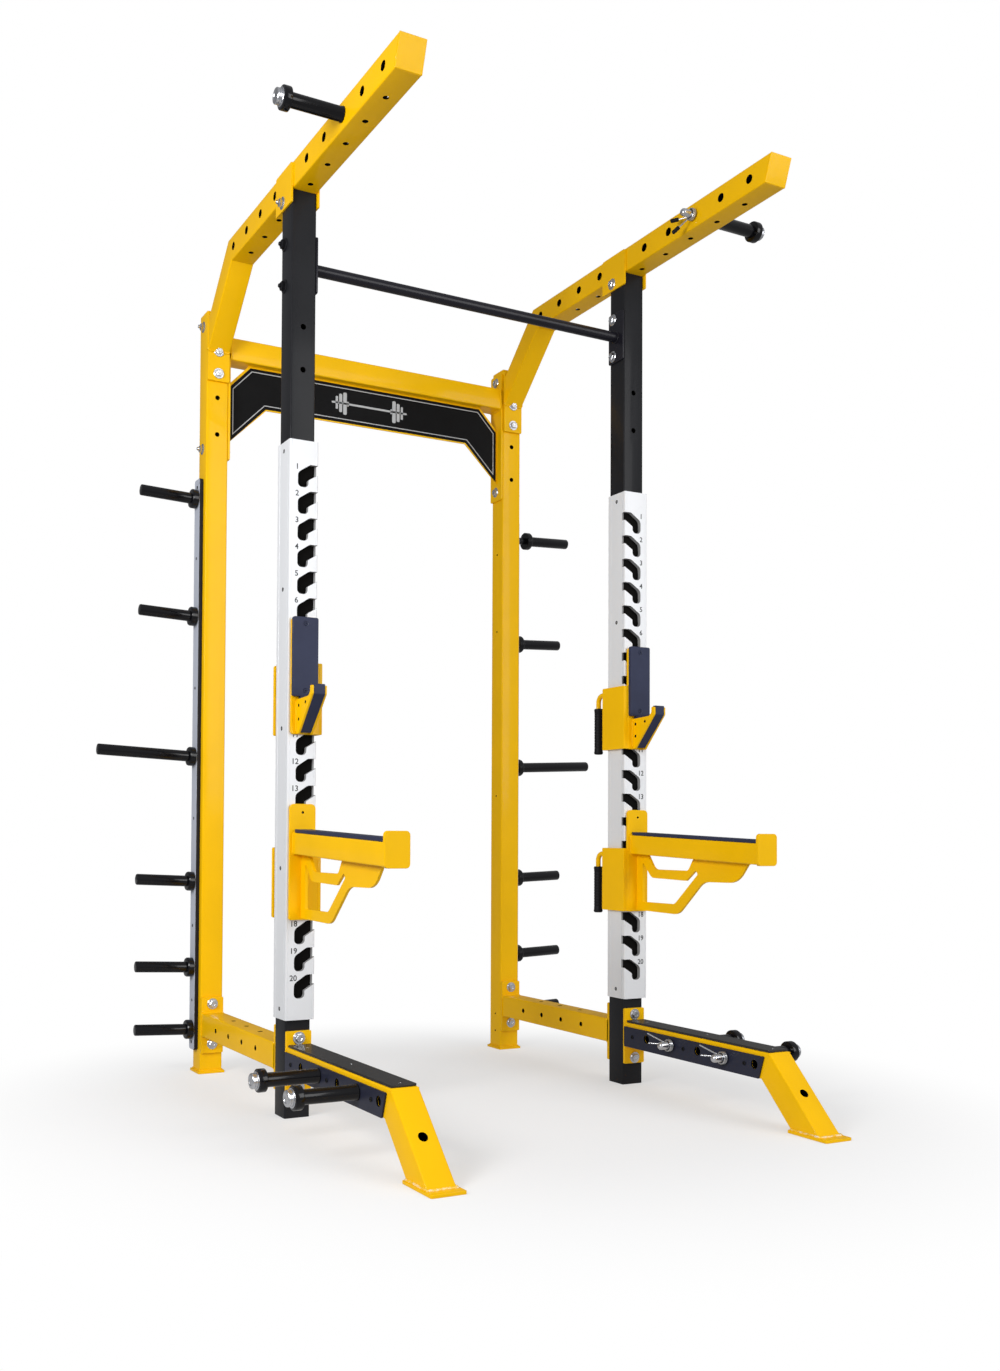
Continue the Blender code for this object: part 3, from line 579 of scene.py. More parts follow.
def rear_upright(side, name):
    front = front_wall_holes(side, REAR_Y, (2.273, 2.148), 0.008)
    fine = merge(*[
        rod((ux(side, HALF + 0.02), REAR_Y, z), (ux(side, HALF - 0.02), REAR_Y, z), 0.0036, 20)
        for z in (1.865, 1.571, 0.948, 0.129, 0.066)
    ])
    tube = shaped(upright(side, REAR_Y, 0.006, REAR_HEIGHT - 0.004), (front, fine))
    reach = HALF + 0.008
    foot_outline = rounded_loop(reach, reach, 0.004, at=(ux(side), REAR_Y))
    foot = shaped(prism(foot_outline, "z", 0, FOOT), bevel=0.001)
    top_outline = rounded_loop(HALF - GAP, HALF - GAP, 0.005, at=(ux(side), REAR_Y))
    top = shaped(prism(top_outline, "z", REAR_HEIGHT - 0.0045, REAR_HEIGHT), bevel=0.0016, segments=3)
    e = HALF + 0.001
    bead = weld([(ux(side) + a, REAR_Y + b, 0.0092) for a, b in cut_corners(-e, e, -e, e)], closed=True)
    clad(f"rear_upright_{name}", "shell", "frame", YELLOW, "yellow", tube, foot, top, bead)


def front_upright(side, name):
    high = TOP_Z - HALF - GAP
    front = front_wall_holes(side, FRONT_Y, (2.249, 2.125), 0.0085)
    raw = upright(side, FRONT_Y, 0, SLEEVE_LOW + 0.002, SLEEVE_HIGH - 0.002, high)
    # Painted shade: the tube's front face behind the sleeve takes the dark second material, so the slots show
    # black.
    raw.faces.ensure_lookup_table()
    for face in raw.faces:
        middle = face.calc_center_median()
        if middle.y < FRONT_Y - HALF + 0.004 and SLEEVE_LOW < middle.z < SLEEVE_HIGH:
            face.material_index = 1
    tube = shaped(raw, (front,))
    clad(f"front_upright_{name}", "shell", "frame", BLACK, "black", tube)


def slot_outline(side, bottom):
    reach = SLEEVE_HALF + 0.012
    corners = (
        (SLOT_OUTER, 0, 0.0128),
        (SLOT_INNER, 0, 0.0128),
        (SLOT_INNER, 0.0215, 0.005),
        (reach, 0.0215 + (reach - SLOT_INNER) * 0.62, 0),
        (reach, 0.0665, 0),
        (0.0195, 0.0665, 0.018),
        (SLOT_OUTER, 0.0665 - (0.0195 - SLOT_OUTER) * 0.66, 0.018),
    )
    return [(ux(side, s), bottom + z) for s, z in rounded(corners, 8)]


def hook_sleeve(side, name):
    """The slotted extrusion: a thick front wall, shallow grooves near its edges and open slots."""
    x = ux(side)
    o, i = SLEEVE_HALF, HALF + GAP
    f, w, b = SLEEVE_FACE, FRONT_Y - HALF - GAP, FRONT_Y + HALF
    half_profile = [
        (0.0, f), (o - 0.0085, f), (o - 0.0082, f + 0.0007), (o - 0.0070, f + 0.0007), (o - 0.0066, f),
        (o - 0.0026, f), (o - 0.0008, f + 0.0009), (o, f + 0.0028), (o, f + 0.0126), (o - 0.0018, f + 0.0130),
        (o - 0.0018, f + 0.0142), (o, f + 0.0146), (o, b - 0.0170), (o - 0.0006, b - 0.0166),
        (o - 0.0006, b - 0.0154), (o, b - 0.0150), (o, b - 0.0010), (o - 0.0010, b), (i + 0.0006, b),
        (i, b - 0.0006), (i, w + 0.0012), (i - 0.0012, w), (0.0, w),
    ]
    right = [(x + s, y) for s, y in half_profile]
    left = [(x - s, y) for s, y in half_profile[-2:0:-1]]
    body = prism(right + left, "z", SLEEVE_LOW, SLEEVE_HIGH)
    cutters = []
    for number in range(20):
        outline = slot_outline(side, SLOT_1 - number * SLOT_PITCH)
        cutters.append(prism(outline, "y", f - 0.01, w + 0.002))
    screws = [1.892, 1.495, 1.098, 0.701, 0.304]
    screw_y = FRONT_Y - 0.007
    sinks = merge(*[rod((ux(side, d), screw_y, z), (ux(side, d * 0.96), screw_y, z), 0.0062, 24)
                    for z in screws for d in (-0.0452, 0.0452)])
    mesh = shaped(body, (merge(*cutters), sinks), bevel=0.0005, angle=45)
    # The slot walls take the darker cut aluminium, which is painted shade.
    clad(f"hook_sleeve_{name}", "shell", "frame", ALUMINIUM, "alu", mesh, cut=SHADED_CUT_ALUMINIUM)
    heads = []
    for z in screws:
        for sign in (-1, 1):
            heads += screw_head((x + sign * (o - 0.0012), screw_y, z), X * sign, 0.0056, 0.0012)
    piece(f"hook_sleeve_{name}_screws", "frame", RUBBER, "black", *heads)
    slot_numbers(side, name)


def slot_numbers(side, name):
    """The slots' numbers, 1 at the top, printed beside each slot's mouth."""
    whole = bmesh.new()
    for number in range(1, 21):
        curve = bpy.data.curves.new("digits", "FONT")
        curve.body = str(number)
        curve.size = 0.0225
        curve.align_x = curve.align_y = "CENTER"
        curve.extrude = 0.00012
        curve.offset = 0.0003
        curve.resolution_u = 3
        obj = linked("digits", curve)
        bpy.context.view_layer.update()
        mesh = bpy.data.meshes.new_from_object(obj.evaluated_get(bpy.context.evaluated_depsgraph_get()))
        bpy.data.objects.remove(obj, do_unlink=True)
        bpy.data.curves.remove(curve)
        bottom = SLOT_1 - (number - 1) * SLOT_PITCH
        spot_at = Matrix.Translation((ux(side, -0.0206), SLEEVE_FACE - 0.00013, bottom + 0.057))
        mesh.transform(spot_at @ Matrix.Rotation(math.pi / 2, 4, "X"))
        whole.from_mesh(mesh)
        bpy.data.meshes.remove(mesh)
    for face in whole.faces:
        face.smooth = False
    piece(f"slot_numbers_{name}", "frame", DARK_INK, "black", whole)


# ---------------------------------------------------------------- beams


def base_connector(side, name):
    y0, y1 = FRONT_Y + HALF + GAP, REAR_Y - HALF - GAP
    x = ux(side)
    stations = [((x, y, BEAM_Z + HALF), (x, y, BEAM_Z - HALF)) for y in (y0 + 0.004, y1 - 0.004)]
    places = [(FRONT_Y + 0.196 + PITCH * k, BEAM_Z) for k in range(4)]
    top = merge(*[rod((x, y + PITCH / 2, BEAM_Z + 0.01), (x, y + PITCH / 2, BEAM_Z + 0.06), 0.008)
                  for y, _ in places[:3]])
    solids = [shaped(square_tube(stations, X), (holes_x(side, places, 0.008), top))]
    bolts = []
    for y, way in ((y0, -1), (y1 - PLATE, 1)):
        outline = rounded_loop(HALF, 0.0925, 0.004, at=(x, BEAM_Z - 0.0025))
        solids.append(shaped(prism(outline, "y", y, y + PLATE), bevel=0.001))
        inner = y + PLATE if way < 0 else y
        solids.append(frame_weld(side, (-HALF - 0.0005, HALF + 0.0005), inner - way * 0.0012,
                                 (BEAM_Z - HALF - 0.0005, BEAM_Z + HALF + 0.0005)))
        for z in (BEAM_Z + 0.068, BEAM_Z - 0.064):
            bolts += bolt((x, inner, z), Y * -way)
    clad(f"base_connector_{name}", "shell", "frame", YELLOW, "yellow", *solids)
    piece(f"base_connector_{name}_bolts", "frame", ZINC, "zinc", *bolts)


LEG_SLANT = math.radians(46)
LEG_SIN, LEG_RUN = math.sin(LEG_SLANT), 1 / math.tan(LEG_SLANT)
KNEE_Y = FRONT_Y - 0.700


def front_leg(side, name):
    back = FRONT_Y - HALF - GAP
    low, high = BEAM_Z - HALF, BEAM_Z + HALF
    x = ux(side)
    toe = KNEE_Y - (high - 0.006) * LEG_RUN
    heel = toe + TUBE / LEG_SIN
    crotch = heel + (low - 0.006) * LEG_RUN
    stations = [
        ((x, back - 0.004, high), (x, back - 0.004, low)),
        ((x, KNEE_Y, high), (x, crotch, low)),
        ((x, toe, 0.006), (x, heel, 0.006)),
    ]
    places = [(y, BEAM_Z) for y in LEG_HOLES]
    slant_z = 0.105
    middle = Vector((x, KNEE_Y - (high - slant_z) * LEG_RUN, slant_z))
    normal = Vector((0, -LEG_SIN, math.cos(LEG_SLANT)))
    tube = shaped(square_tube(stations, X), (
        holes_x(side, places, HOLE_R), rod(middle + normal * 0.02, middle - normal * 0.03, 0.0125)), sharp=28)
    plate_outline = rounded_loop(HALF, 0.08825, 0.004, at=(x, 0.15625))
    plate = shaped(prism(plate_outline, "y", back - PLATE, back), bevel=0.001)
    foot_outline = rounded_loop(0.046, 0.071, 0.005, at=(x, FRONT_Y - 0.918 + 0.071))
    foot = shaped(prism(foot_outline, "z", 0, FOOT), bevel=0.001)
    e = HALF
    bead = weld([(x - e, toe - 0.001, 0.0092), (x + e, toe - 0.001, 0.0092), (x + e + 0.001, heel, 0.0092),
                 (x - e - 0.001, heel, 0.0092)], 0.0034, closed=True)
    mitre = [weld([(edge, KNEE_Y - 0.001, high - 0.002), (edge, crotch, low + 0.002)], 0.0016)
             for edge in (x - (e - 0.0012), x + (e - 0.0012))]
    ring = frame_weld(side, (-HALF - 0.0005, HALF + 0.0005), back - PLATE - 0.001, (low, high))
    clad(f"front_leg_{name}", "shell", "frame", YELLOW, "yellow", tube, plate, foot, ring, *mitre)
    # The foot weld beads carry painted highlights as near-white patches.
    piece(f"front_leg_{name}_foot_weld", "frame", GLINT_PAINTED_WELD, "yellow", bead)

    bolts = []
    for z in (0.2245, 0.0865):
        bolts += bolt((x, back - PLATE, z), -Y)
    piece(f"front_leg_{name}_bolts", "frame", ZINC, "zinc", *bolts)
    screws = []
    for y in (-0.094, -0.342, -0.607):
        for sign in (-1, 1):
            place = (x + sign * (HALF + GAP + COVER), FRONT_Y + y, 0.160)
            screws += screw_head(place, X * sign, 0.0062, 0.0024)
    piece(f"leg_side_plate_{name}_screws", "frame", RUBBER, "black", *screws)

    start = back - PLATE - 0.004
    strip_outline = rounded_loop(0.035, (start - KNEE_Y - 0.004) / 2, 0.004,
                                 at=(x, (start + KNEE_Y + 0.004) / 2))
    strip = shaped(prism(strip_outline, "z", high + GAP, high + 0.0068), bevel=0.0016, segments=3)
    clad(f"leg_top_strip_{name}", "tread", "frame", STRIP, "rubber", strip)
    screws = []
    for y in (-0.115, -0.40, -0.675):
        screws += screw_head((x, FRONT_Y + y, high + 0.0062), Z, 0.0042, 0.0008)
    piece(f"leg_top_strip_{name}_screws", "frame", ZINC, "zinc", *screws)

    begin = back - PLATE - 0.002
    cover = rounded(((begin, low + 0.0005, 0.002), (begin, high - 0.012, 0.002),
                     (KNEE_Y + 0.016, high - 0.012, 0.003), (KNEE_Y + 0.037, low + 0.0005, 0.003)), 3)
    for face, label in ((-1, "outer"), (1, "inner")):
        skin = shaped(side_prism(side, cover, face * (HALF + GAP), face * (HALF + GAP + COVER)),
                      (holes_x(side, places, HOLE_R, HALF + 0.04),), bevel=0.0007)
        clad(f"leg_side_plate_{label}_{name}", "skin", "frame", PANEL, "black", skin)


def top_member(side, name):
    x = ux(side)
    low, high = TOP_Z - HALF, TOP_Z + HALF
    slope = math.radians(44)
    bend = FRONT_Y + 0.495
    shift = HALF * math.tan(slope / 2)
    back = REAR_Y - HALF - GAP
    weld_y = back - 0.004
    drop = math.tan(slope)
    tip_top, tip_low = FRONT_Y - 0.714, FRONT_Y - 0.688
    stations = [
        ((x, tip_top + 0.003, high), (x, tip_low + 0.003, low)),
        ((x, bend + shift, high), (x, bend - shift, low)),
        ((x, weld_y, high - (weld_y - bend - shift) * drop),
         (x, weld_y, low - (weld_y - bend + shift) * drop)),
    ]
    places = [(y, TOP_Z) for k, y in enumerate(ARM_HOLES) if k != 4]
    under = merge(*[rod((x, y, low - 0.01), (x, y, TOP_Z), 0.0082)
                    for y in (FRONT_Y + 0.400 - PITCH * k for k in range(9) if k != 3)])
    solids = [shaped(square_tube(stations, X), (holes_x(side, places, HOLE_R), under), sharp=24)]
    tip = prism([(tip_top, high - 0.0004), (tip_low, low + 0.0004), (tip_low + 0.004, low + 0.0004),
                 (tip_top + 0.004, high - 0.0004)], "x", x - HALF + 0.0004, x + HALF - 0.0004)
    solids.append(shaped(tip, bevel=0.0012, segments=3))
    plate_low, plate_high = 2.327, REAR_HEIGHT - 0.012
    plate_outline = rounded_loop(HALF, (plate_high - plate_low) / 2, 0.004,
                                 at=(x, (plate_low + plate_high) / 2))
    solids.append(shaped(prism(plate_outline, "y", back - PLATE, back), bevel=0.001))
    z_low = low - (back - PLATE - bend + shift) * drop
    z_high = high - (back - PLATE - bend - shift) * drop
    solids.append(frame_weld(side, (-HALF + 0.0005, HALF - 0.0005), back - PLATE - 0.001,
                             (z_low, min(z_high, 2.553)), 0.0034))
    for face in (-1, 1):
        saddle = panel(FRONT_Y - 0.047, FRONT_Y + 0.074, 2.600, high - 0.003, 0.004, 0.006, 4)
        ear = side_prism(side, saddle, face * (HALF + GAP), face * (HALF + SADDLE))
        solids.append(shaped(ear, bevel=0.0008))
        rim = ux(side, face * (HALF + 0.0012))
        solids += [upright_weld(rim, FRONT_Y + dy, 2.646, high - 0.006, 0.0024) for dy in (-0.0475, 0.0745)]
    clad(f"top_side_member_{name}", "shell", "frame", YELLOW, "yellow", *solids)
    bolts = []
    for z in (2.428, 2.353):
        bolts += bolt((x, back - PLATE, z), -Y)
    bolts += bolt((ux(side, HALF + SADDLE), FRONT_Y + 0.020, 2.622), -X * side)
    bolts += nut((ux(side, -HALF - SADDLE), FRONT_Y + 0.020, 2.622), X * side)
    piece(f"top_side_member_{name}_bolts", "frame", ZINC, "zinc", *bolts)


def pull_up_bar():
    end = SPACING / 2 - HALF - GAP
    bar = shaped(drum(0.0165, 2 * end - 0.008, (-end + 0.004, FRONT_Y, BAR_Z), X, 48))
    solids, bolts, dark = [bar], [], []
    for side, _ in SIDES:
        outline = panel(FRONT_Y - HALF, FRONT_Y + HALF, BAR_Z - 0.082, BAR_Z + 0.082, 0.006, 0.006, 4)
        solids.append(shaped(side_prism(side, outline, HALF + GAP, HALF + GAP + 0.006), bevel=0.0009))
        rim = ux(side, HALF + 0.0075)
        circle = [(rim, FRONT_Y + 0.0172 * math.cos(t), BAR_Z + 0.0172 * math.sin(t))
                  for t in turns(12)]
        solids.append(weld(circle, 0.003, closed=True, step=0.01))
        for z in (2.500, 2.378):
            bolts += bolt((ux(side, HALF + GAP + 0.006), FRONT_Y + 0.015, z), -X * side)
            dark += nut((ux(side, -HALF), FRONT_Y + 0.015, z), X * side, 0.0195, 0.0135, 0.005)
    clad("pull_up_bar", "shell", "frame", BLUE_BLACK, "black", *solids)
    piece("pull_up_bar_bolts", "frame", ZINC, "zinc", *bolts)
    piece("pull_up_bar_nuts", "frame", RUBBER, "black", *dark)


SIGN_Y = REAR_Y - 0.006


def sign_outline(half, top):
    return [(-half, 2.128), (-0.397, 2.266), (0.397, 2.266), (half, 2.128), (half, 2.330), (0.458, top),
            (-0.458, top), (-half, 2.330)]


def sign_ring(outline, inside, outside, y, thick):
    """A thin line that follows the sign's edge between two insets."""
    outer, inner = inset(outline, outside), inset(outline, inside)
    bm = bmesh.new()
    rows = [[bm.verts.new((u, w, v)) for u, v in loop] for loop, w in
            ((outer, y), (inner, y), (inner, y - thick), (outer, y - thick))]
    count = len(outline)
    for one, two in zip(rows, rows[1:] + rows[:1]):
        for k in range(count):
            n = (k + 1) % count
            bm.faces.new((one[k], one[n], two[n], two[k]))
    return shaped(bm)


def rear_crossmember():
    end = SPACING / 2 - HALF - GAP
    low, high = CROSS_Z - HALF, CROSS_Z + HALF
    stations = [((x, REAR_Y, high), (x, REAR_Y, low)) for x in (-end + 0.004, end - 0.004)]
    vent = rod((0.3, REAR_Y, CROSS_Z), (0.3, REAR_Y, high + 0.02), 0.005)
    solids = [shaped(square_tube(stations, Y), (vent,))]
    bolts = []
    for side, _ in SIDES:
        outline = rounded_loop(HALF, 0.240, 0.006, at=(REAR_Y, 2.308))
        solids.append(shaped(side_prism(side, outline, HALF + GAP, HALF + GAP + 0.008), bevel=0.001))
        rim = ux(side, HALF + 0.0095)
        corners = cut_corners(REAR_Y - HALF, REAR_Y + HALF, low, high)[::-1]
        solids.append(weld([(rim, y, z) for y, z in corners], closed=True))
        for z in (2.520, 2.102):
            bolts += bolt((ux(side, HALF + GAP + 0.008), REAR_Y, z), -X * side)
            bolts += nut((ux(side, -HALF), REAR_Y, z), X * side)
    back = sign_outline(end - 0.004, low + 0.004)
    solids.append(shaped(prism(back, "y", SIGN_Y - 0.0025, SIGN_Y + 0.0025), bevel=0.0006))
    clad("rear_crossmember", "shell", "frame", YELLOW, "yellow", *solids)
    piece("rear_crossmember_bolts", "frame", ZINC, "zinc", *bolts)

    face = inset(sign_outline(end - 0.010, low - 0.002), 0.0045)
    front = SIGN_Y - 0.0025
    film = shaped(prism(face, "y", front - 0.0012, front + 0.0002), bevel=0.0003)
    piece("sign_face_film", "frame", FILM, "black", film)
    marks = [sign_ring(face, 0.0135, 0.0105, front - 0.0011, 0.0004)]
    marks += emblem(2.339, front - 0.0011)
    piece("sign_pinstripe_and_emblem", "frame", PALE_INK, "zinc", *marks)


def emblem(z, y):
    """A plain loaded barbell seen side on: a bar, three plates and a collar at each end."""
    loads = ((0.098, 0.0070, 0.0400), (0.115, 0.0060, 0.0330), (0.130, 0.0045, 0.0230),
             (0.0865, 0.0028, 0.0090))
    shapes = [(0.0, 0.150, 0.0034)]
    shapes += [(sign * offset, *halves) for sign in (-1, 1) for offset, *halves in loads]
    made = []
    for offset, half_width, half_height in shapes:
        radius = min(half_width, half_height) * 0.7
        outline = rounded_loop(half_width, half_height, radius, 5, at=(offset, z))
        made.append(shaped(prism(outline, "y", y - 0.0004, y)))
    return made


# ---------------------------------------------------------------- storage


STORAGE_Z = (1.932, 1.532, 1.058, 0.638, 0.350, 0.142)


def storage(side, name):
    outer = HALF + GAP
    near, far = -outer, -outer - RAIL_T + 0.0012
    outline = panel(RAIL_Y - 0.0265, RAIL_Y + 0.0265, 0.075, 2.000, 0.010, 0.010, 6)
    port = holes_x(side, [(RAIL_Y, 1.972)], 0.0062, HALF + 0.03, 24)
    rail = shaped(side_prism(side, outline, near, far), (port,), bevel=0.0010)
    clad(f"storage_rail_{name}", "shell", "frame", CHARCOAL, "black", rail)
    port = holes_x(side, [(RAIL_Y, 1.972)], 0.0062, HALF + 0.03, 24)
    cover = side_prism(side, inset(outline, 0.0012), far + 0.0002, -outer - RAIL_T)
    facing = shaped(cover, (port,), bevel=0.0004)
    piece(f"storage_rail_{name}_facing", "frame", FACING, "black", facing)
    bolts = []
    for z in (1.730, 1.290, 0.850, 0.490, 0.240, 0.100):
        bolts += screw_head((ux(side, -outer - RAIL_T + 0.0004), RAIL_Y, z), X * side, 0.0050, 0.0012)
    piece(f"storage_rail_{name}_screws", "frame", RUBBER, "black", *bolts)
    way = Vector((side * math.cos(PEG_TILT), 0, math.sin(PEG_TILT)))
    base_x = ux(side, -(outer + RAIL_T + 0.0016))
    for number, z in enumerate(STORAGE_Z, 1):
        length = 0.327 if number == 3 else 0.193
        base = Vector((base_x, RAIL_Y, z))
        neck = 0.036 if number == 1 and side > 0 else 0.0
        start = base + way * neck
        shaft = [(0, 0.018), (0.0182, 0.018), (0.0182, length - 0.0028), (0.0172, length - 0.0006),
                 (0.0160, length), (0, length)]
        collar = [(0, 0), (0.0310, 0), (0.0320, 0.0012), (0.0320, 0.0172), (0.0300, 0.0208),
                  (0.0240, 0.0220), (0, 0.0220)]
        solids = [shaped(lathe(shaft, start, way, 40)), shaped(lathe(collar, start, way, 44), sharp=22)]
        if neck:
            solids.append(shaped(drum(0.0120, neck + 0.002, base, way, 28)))
        clad(f"storage_peg_{number}_{name}", "shaft", "frame", PEG_BLACK, "black", *solids)


# ---------------------------------------------------------------- band pegs and clips


def band_peg(side, name, where, y, z, plates):
    """A peg with a black shaft and disc, a bright nut and washer, and a bright tail through the tube."""
    body = f"peg_{where}_{name}"
    clipped = where != "arm" or side > 0
    face = HALF + plates + GAP
    way = X * side
    base = Vector((ux(side, -face - GAP), y, z))
    shaft = shaped(lathe([(0, 0), (0.0208, 0), (0.0210, 0.0012), (0.0204, 0.0034), (0.0190, 0.0060),
                          (0.0190, 0.1500), (0, 0.1500)], base, way, 40))
    clad(f"band_peg_{where}_{name}", "shaft", body, PEG_BLACK, "black", shaft)
    disc = shaped(lathe([(0, 0.1490), (0.0286, 0.1490), (0.0299, 0.1498), (0.0305, 0.1512), (0.0305, 0.1682),
                         (0.0299, 0.1698), (0.0280, 0.1710), (0.0250, 0.1710), (0, 0.1710)], base, way, 48))
    piece(f"band_peg_{where}_{name}_disc", body, PEG_BLACK, "rubber", disc)
    washer = shaped(lathe([(0, 0.1708), (0.0238, 0.1708), (0.0245, 0.1715), (0.0245, 0.1732),
                           (0.0238, 0.1739), (0, 0.1739)], base, way, 40))
    cap = shaped(lathe([(0, 0.1735), (0.0198, 0.1735), (0.0205, 0.1745), (0.0205, 0.1790), (0.0192, 0.1798),
                        (0.0192, 0.1806), (0.0205, 0.1814), (0.0205, 0.1852), (0.0190, 0.1872),
                        (0.0158, 0.1880), (0.0118, 0.1880), (0.0104, 0.1866), (0, 0.1862)],
                       base, way, 40), sharp=26)
    tail_end = 2 * face + (0.048 if clipped else 0.020) + GAP
    tail = shaped(lathe([(0, 0), (0.0116, 0), (0.0116, tail_end - 0.0095), (0.0106, tail_end - 0.0050),
                         (0.0080, tail_end - 0.0018), (0.0040, tail_end - 0.0004), (0, tail_end)],
                        base, -way, 36))
    piece(f"band_peg_{where}_{name}_bright_ends", body, ZINC, "zinc", washer, cap, tail)
    if clipped:
        ends = (0.0, math.radians(-51 if where == "arm" else 31 * side))
        spring_clip(side, name, where, Vector((ux(side, face), y, z)), ends)


def spring_clip(side, name, where, foot, ends):
    """A spring collar: a wound coil with two levers, sleeved in black on the overhead peg."""
    body = f"clip_{where}_{name}"
    inner = -X * side
    radius, pitch, steps, lean = 0.0163, 0.0040, 24, math.radians(55)
    first, last = ends[0], ends[1] + 6 * math.pi
    count = round((last - first) / (2 * math.pi) * steps)
    coil = []
    for k in range(count + 1):
        angle = first + (last - first) * k / count
        rise = 0.0042 + pitch * (angle - first) / (2 * math.pi)
        coil.append(foot + inner * rise + (Y * math.cos(angle) + Z * math.sin(angle)) * radius)
    sleeves = []
    for angle, start, before in ((first, coil[0], True), (last, coil[-1], False)):
        out = Y * math.cos(angle) + Z * math.sin(angle)
        along = inner * math.cos(lean) + out * math.sin(lean)
        lever = [start + along * (0.055 * k / 8) for k in range(1, 9)]
        coil = lever[::-1] + coil if before else coil + lever
        if where == "arm":
            sleeve = [(0, 0), (0.0050, 0), (0.0060, 0.0012), (0.0060, 0.0225), (0.0050, 0.0245), (0, 0.0250)]
            sleeves.append(shaped(lathe(sleeve, start + along * 0.0325, along, 20)))
    clad(f"peg_clip_{where}_{name}", "wire", body, SPRING, "zinc", shaped(sweep(coil, 0.0021, 10), sharp=60))
    if sleeves:
        piece(f"peg_clip_{where}_{name}_sleeves", body, RUBBER, "rubber", *sleeves)


# ---------------------------------------------------------------- hooks and spotter arms


def wrap(side, low, high, slots):
    """The welded bracket round the upright: cheek, bridge, rear plate, studs and handle rod."""
    outline = rounded([(HOOK_FACE, low, 0.003), (WRAP_REAR + PLATE, low, 0.004),
                       (WRAP_REAR + PLATE, high, 0.004), (HOOK_FACE, high, 0.006)], 4)
    cheek = shaped(side_prism(side, outline, WRAP_NEAR, WRAP_FAR), bevel=0.0010)
    rear_outline = rounded_loop((WRAP_FAR + SLEEVE_HALF + 0.004) / 2 - GAP, (high - low) / 2 - GAP, 0.005,
                                at=(ux(side, (WRAP_FAR - SLEEVE_HALF - 0.004) / 2), (low + high) / 2))
    rear = shaped(prism(rear_outline, "y", WRAP_REAR, WRAP_REAR + PLATE - GAP), bevel=0.0010)
    bridge = shaped(unit_block(side, (0.030, WRAP_FAR - 0.0006), (HOOK_FACE + 0.0006, HOOK_BACK - GAP),
                               (low + GAP, high - GAP)), bevel=0.0006)
    studs = []
    for slot in slots:
        z = SLOT_1 - (slot - 1) * SLOT_PITCH + 0.0128
        studs.append(shaped(lathe([(0, 0), (0.0110, 0), (0.0124, 0.0014), (0.0124, 0.0180), (0, 0.0180)],
                                  (ux(side), FRONT_Y - HALF - 0.0006, z), -Y, 32)))
    x = ux(side, GRIP_IN)
    bend, top = 0.022, high - 0.020
    path = [(x, WRAP_REAR + 0.004, top), (x, WRAP_REAR + 0.016, top)]
    for k in range(9):
        t = math.pi / 2 * k / 8
        path.append((x, GRIP_Y - bend + bend * math.sin(t), top - bend + bend * math.cos(t)))
    path.append((x, GRIP_Y, high - 0.075))
    rod_mesh = shaped(sweep(path, 0.0079, 20), sharp=50)
    ring = [(x + 0.0086 * math.cos(t), WRAP_REAR + PLATE + 0.0004, top + 0.0086 * math.sin(t))
            for t in turns(10)]
    beads = [weld(ring, 0.0024, closed=True, step=0.01)]
    seam = 0.0008
    beads.append(upright_weld(ux(side, WRAP_NEAR - seam), WRAP_REAR - seam, low + 0.02, high - 0.02, 0.0026))
    return [cheek, rear, bridge, rod_mesh, *studs, *beads]


def grip(side, name, label, body, high):
    """A moulded handle grip with ribs and a swollen end."""
    low = high - 0.062 - 0.152
    profile = [(0, 0), (0.0105, 0), (0.0136, 0.0016), (0.0147, 0.0048), (0.0147, 0.0080), (0.0138, 0.0110)]
    for k in range(13):
        z = 0.020 + k * 0.0092
        profile += [(0.0138, z), (0.0131, z + 0.0012), (0.0131, z + 0.0030), (0.0138, z + 0.0042)]
    profile += [(0.0138, 0.1420), (0.0147, 0.1445), (0.0147, 0.1485), (0.0130, 0.1518), (0.0086, 0.1520),
                (0, 0.1520)]
    mesh = shaped(lathe(profile, (ux(side, GRIP_IN), GRIP_Y, low), Z, 36), sharp=35)
    clad(f"{label}_grip_{name}", "moulding", body, RUBBER, "rubber", mesh)


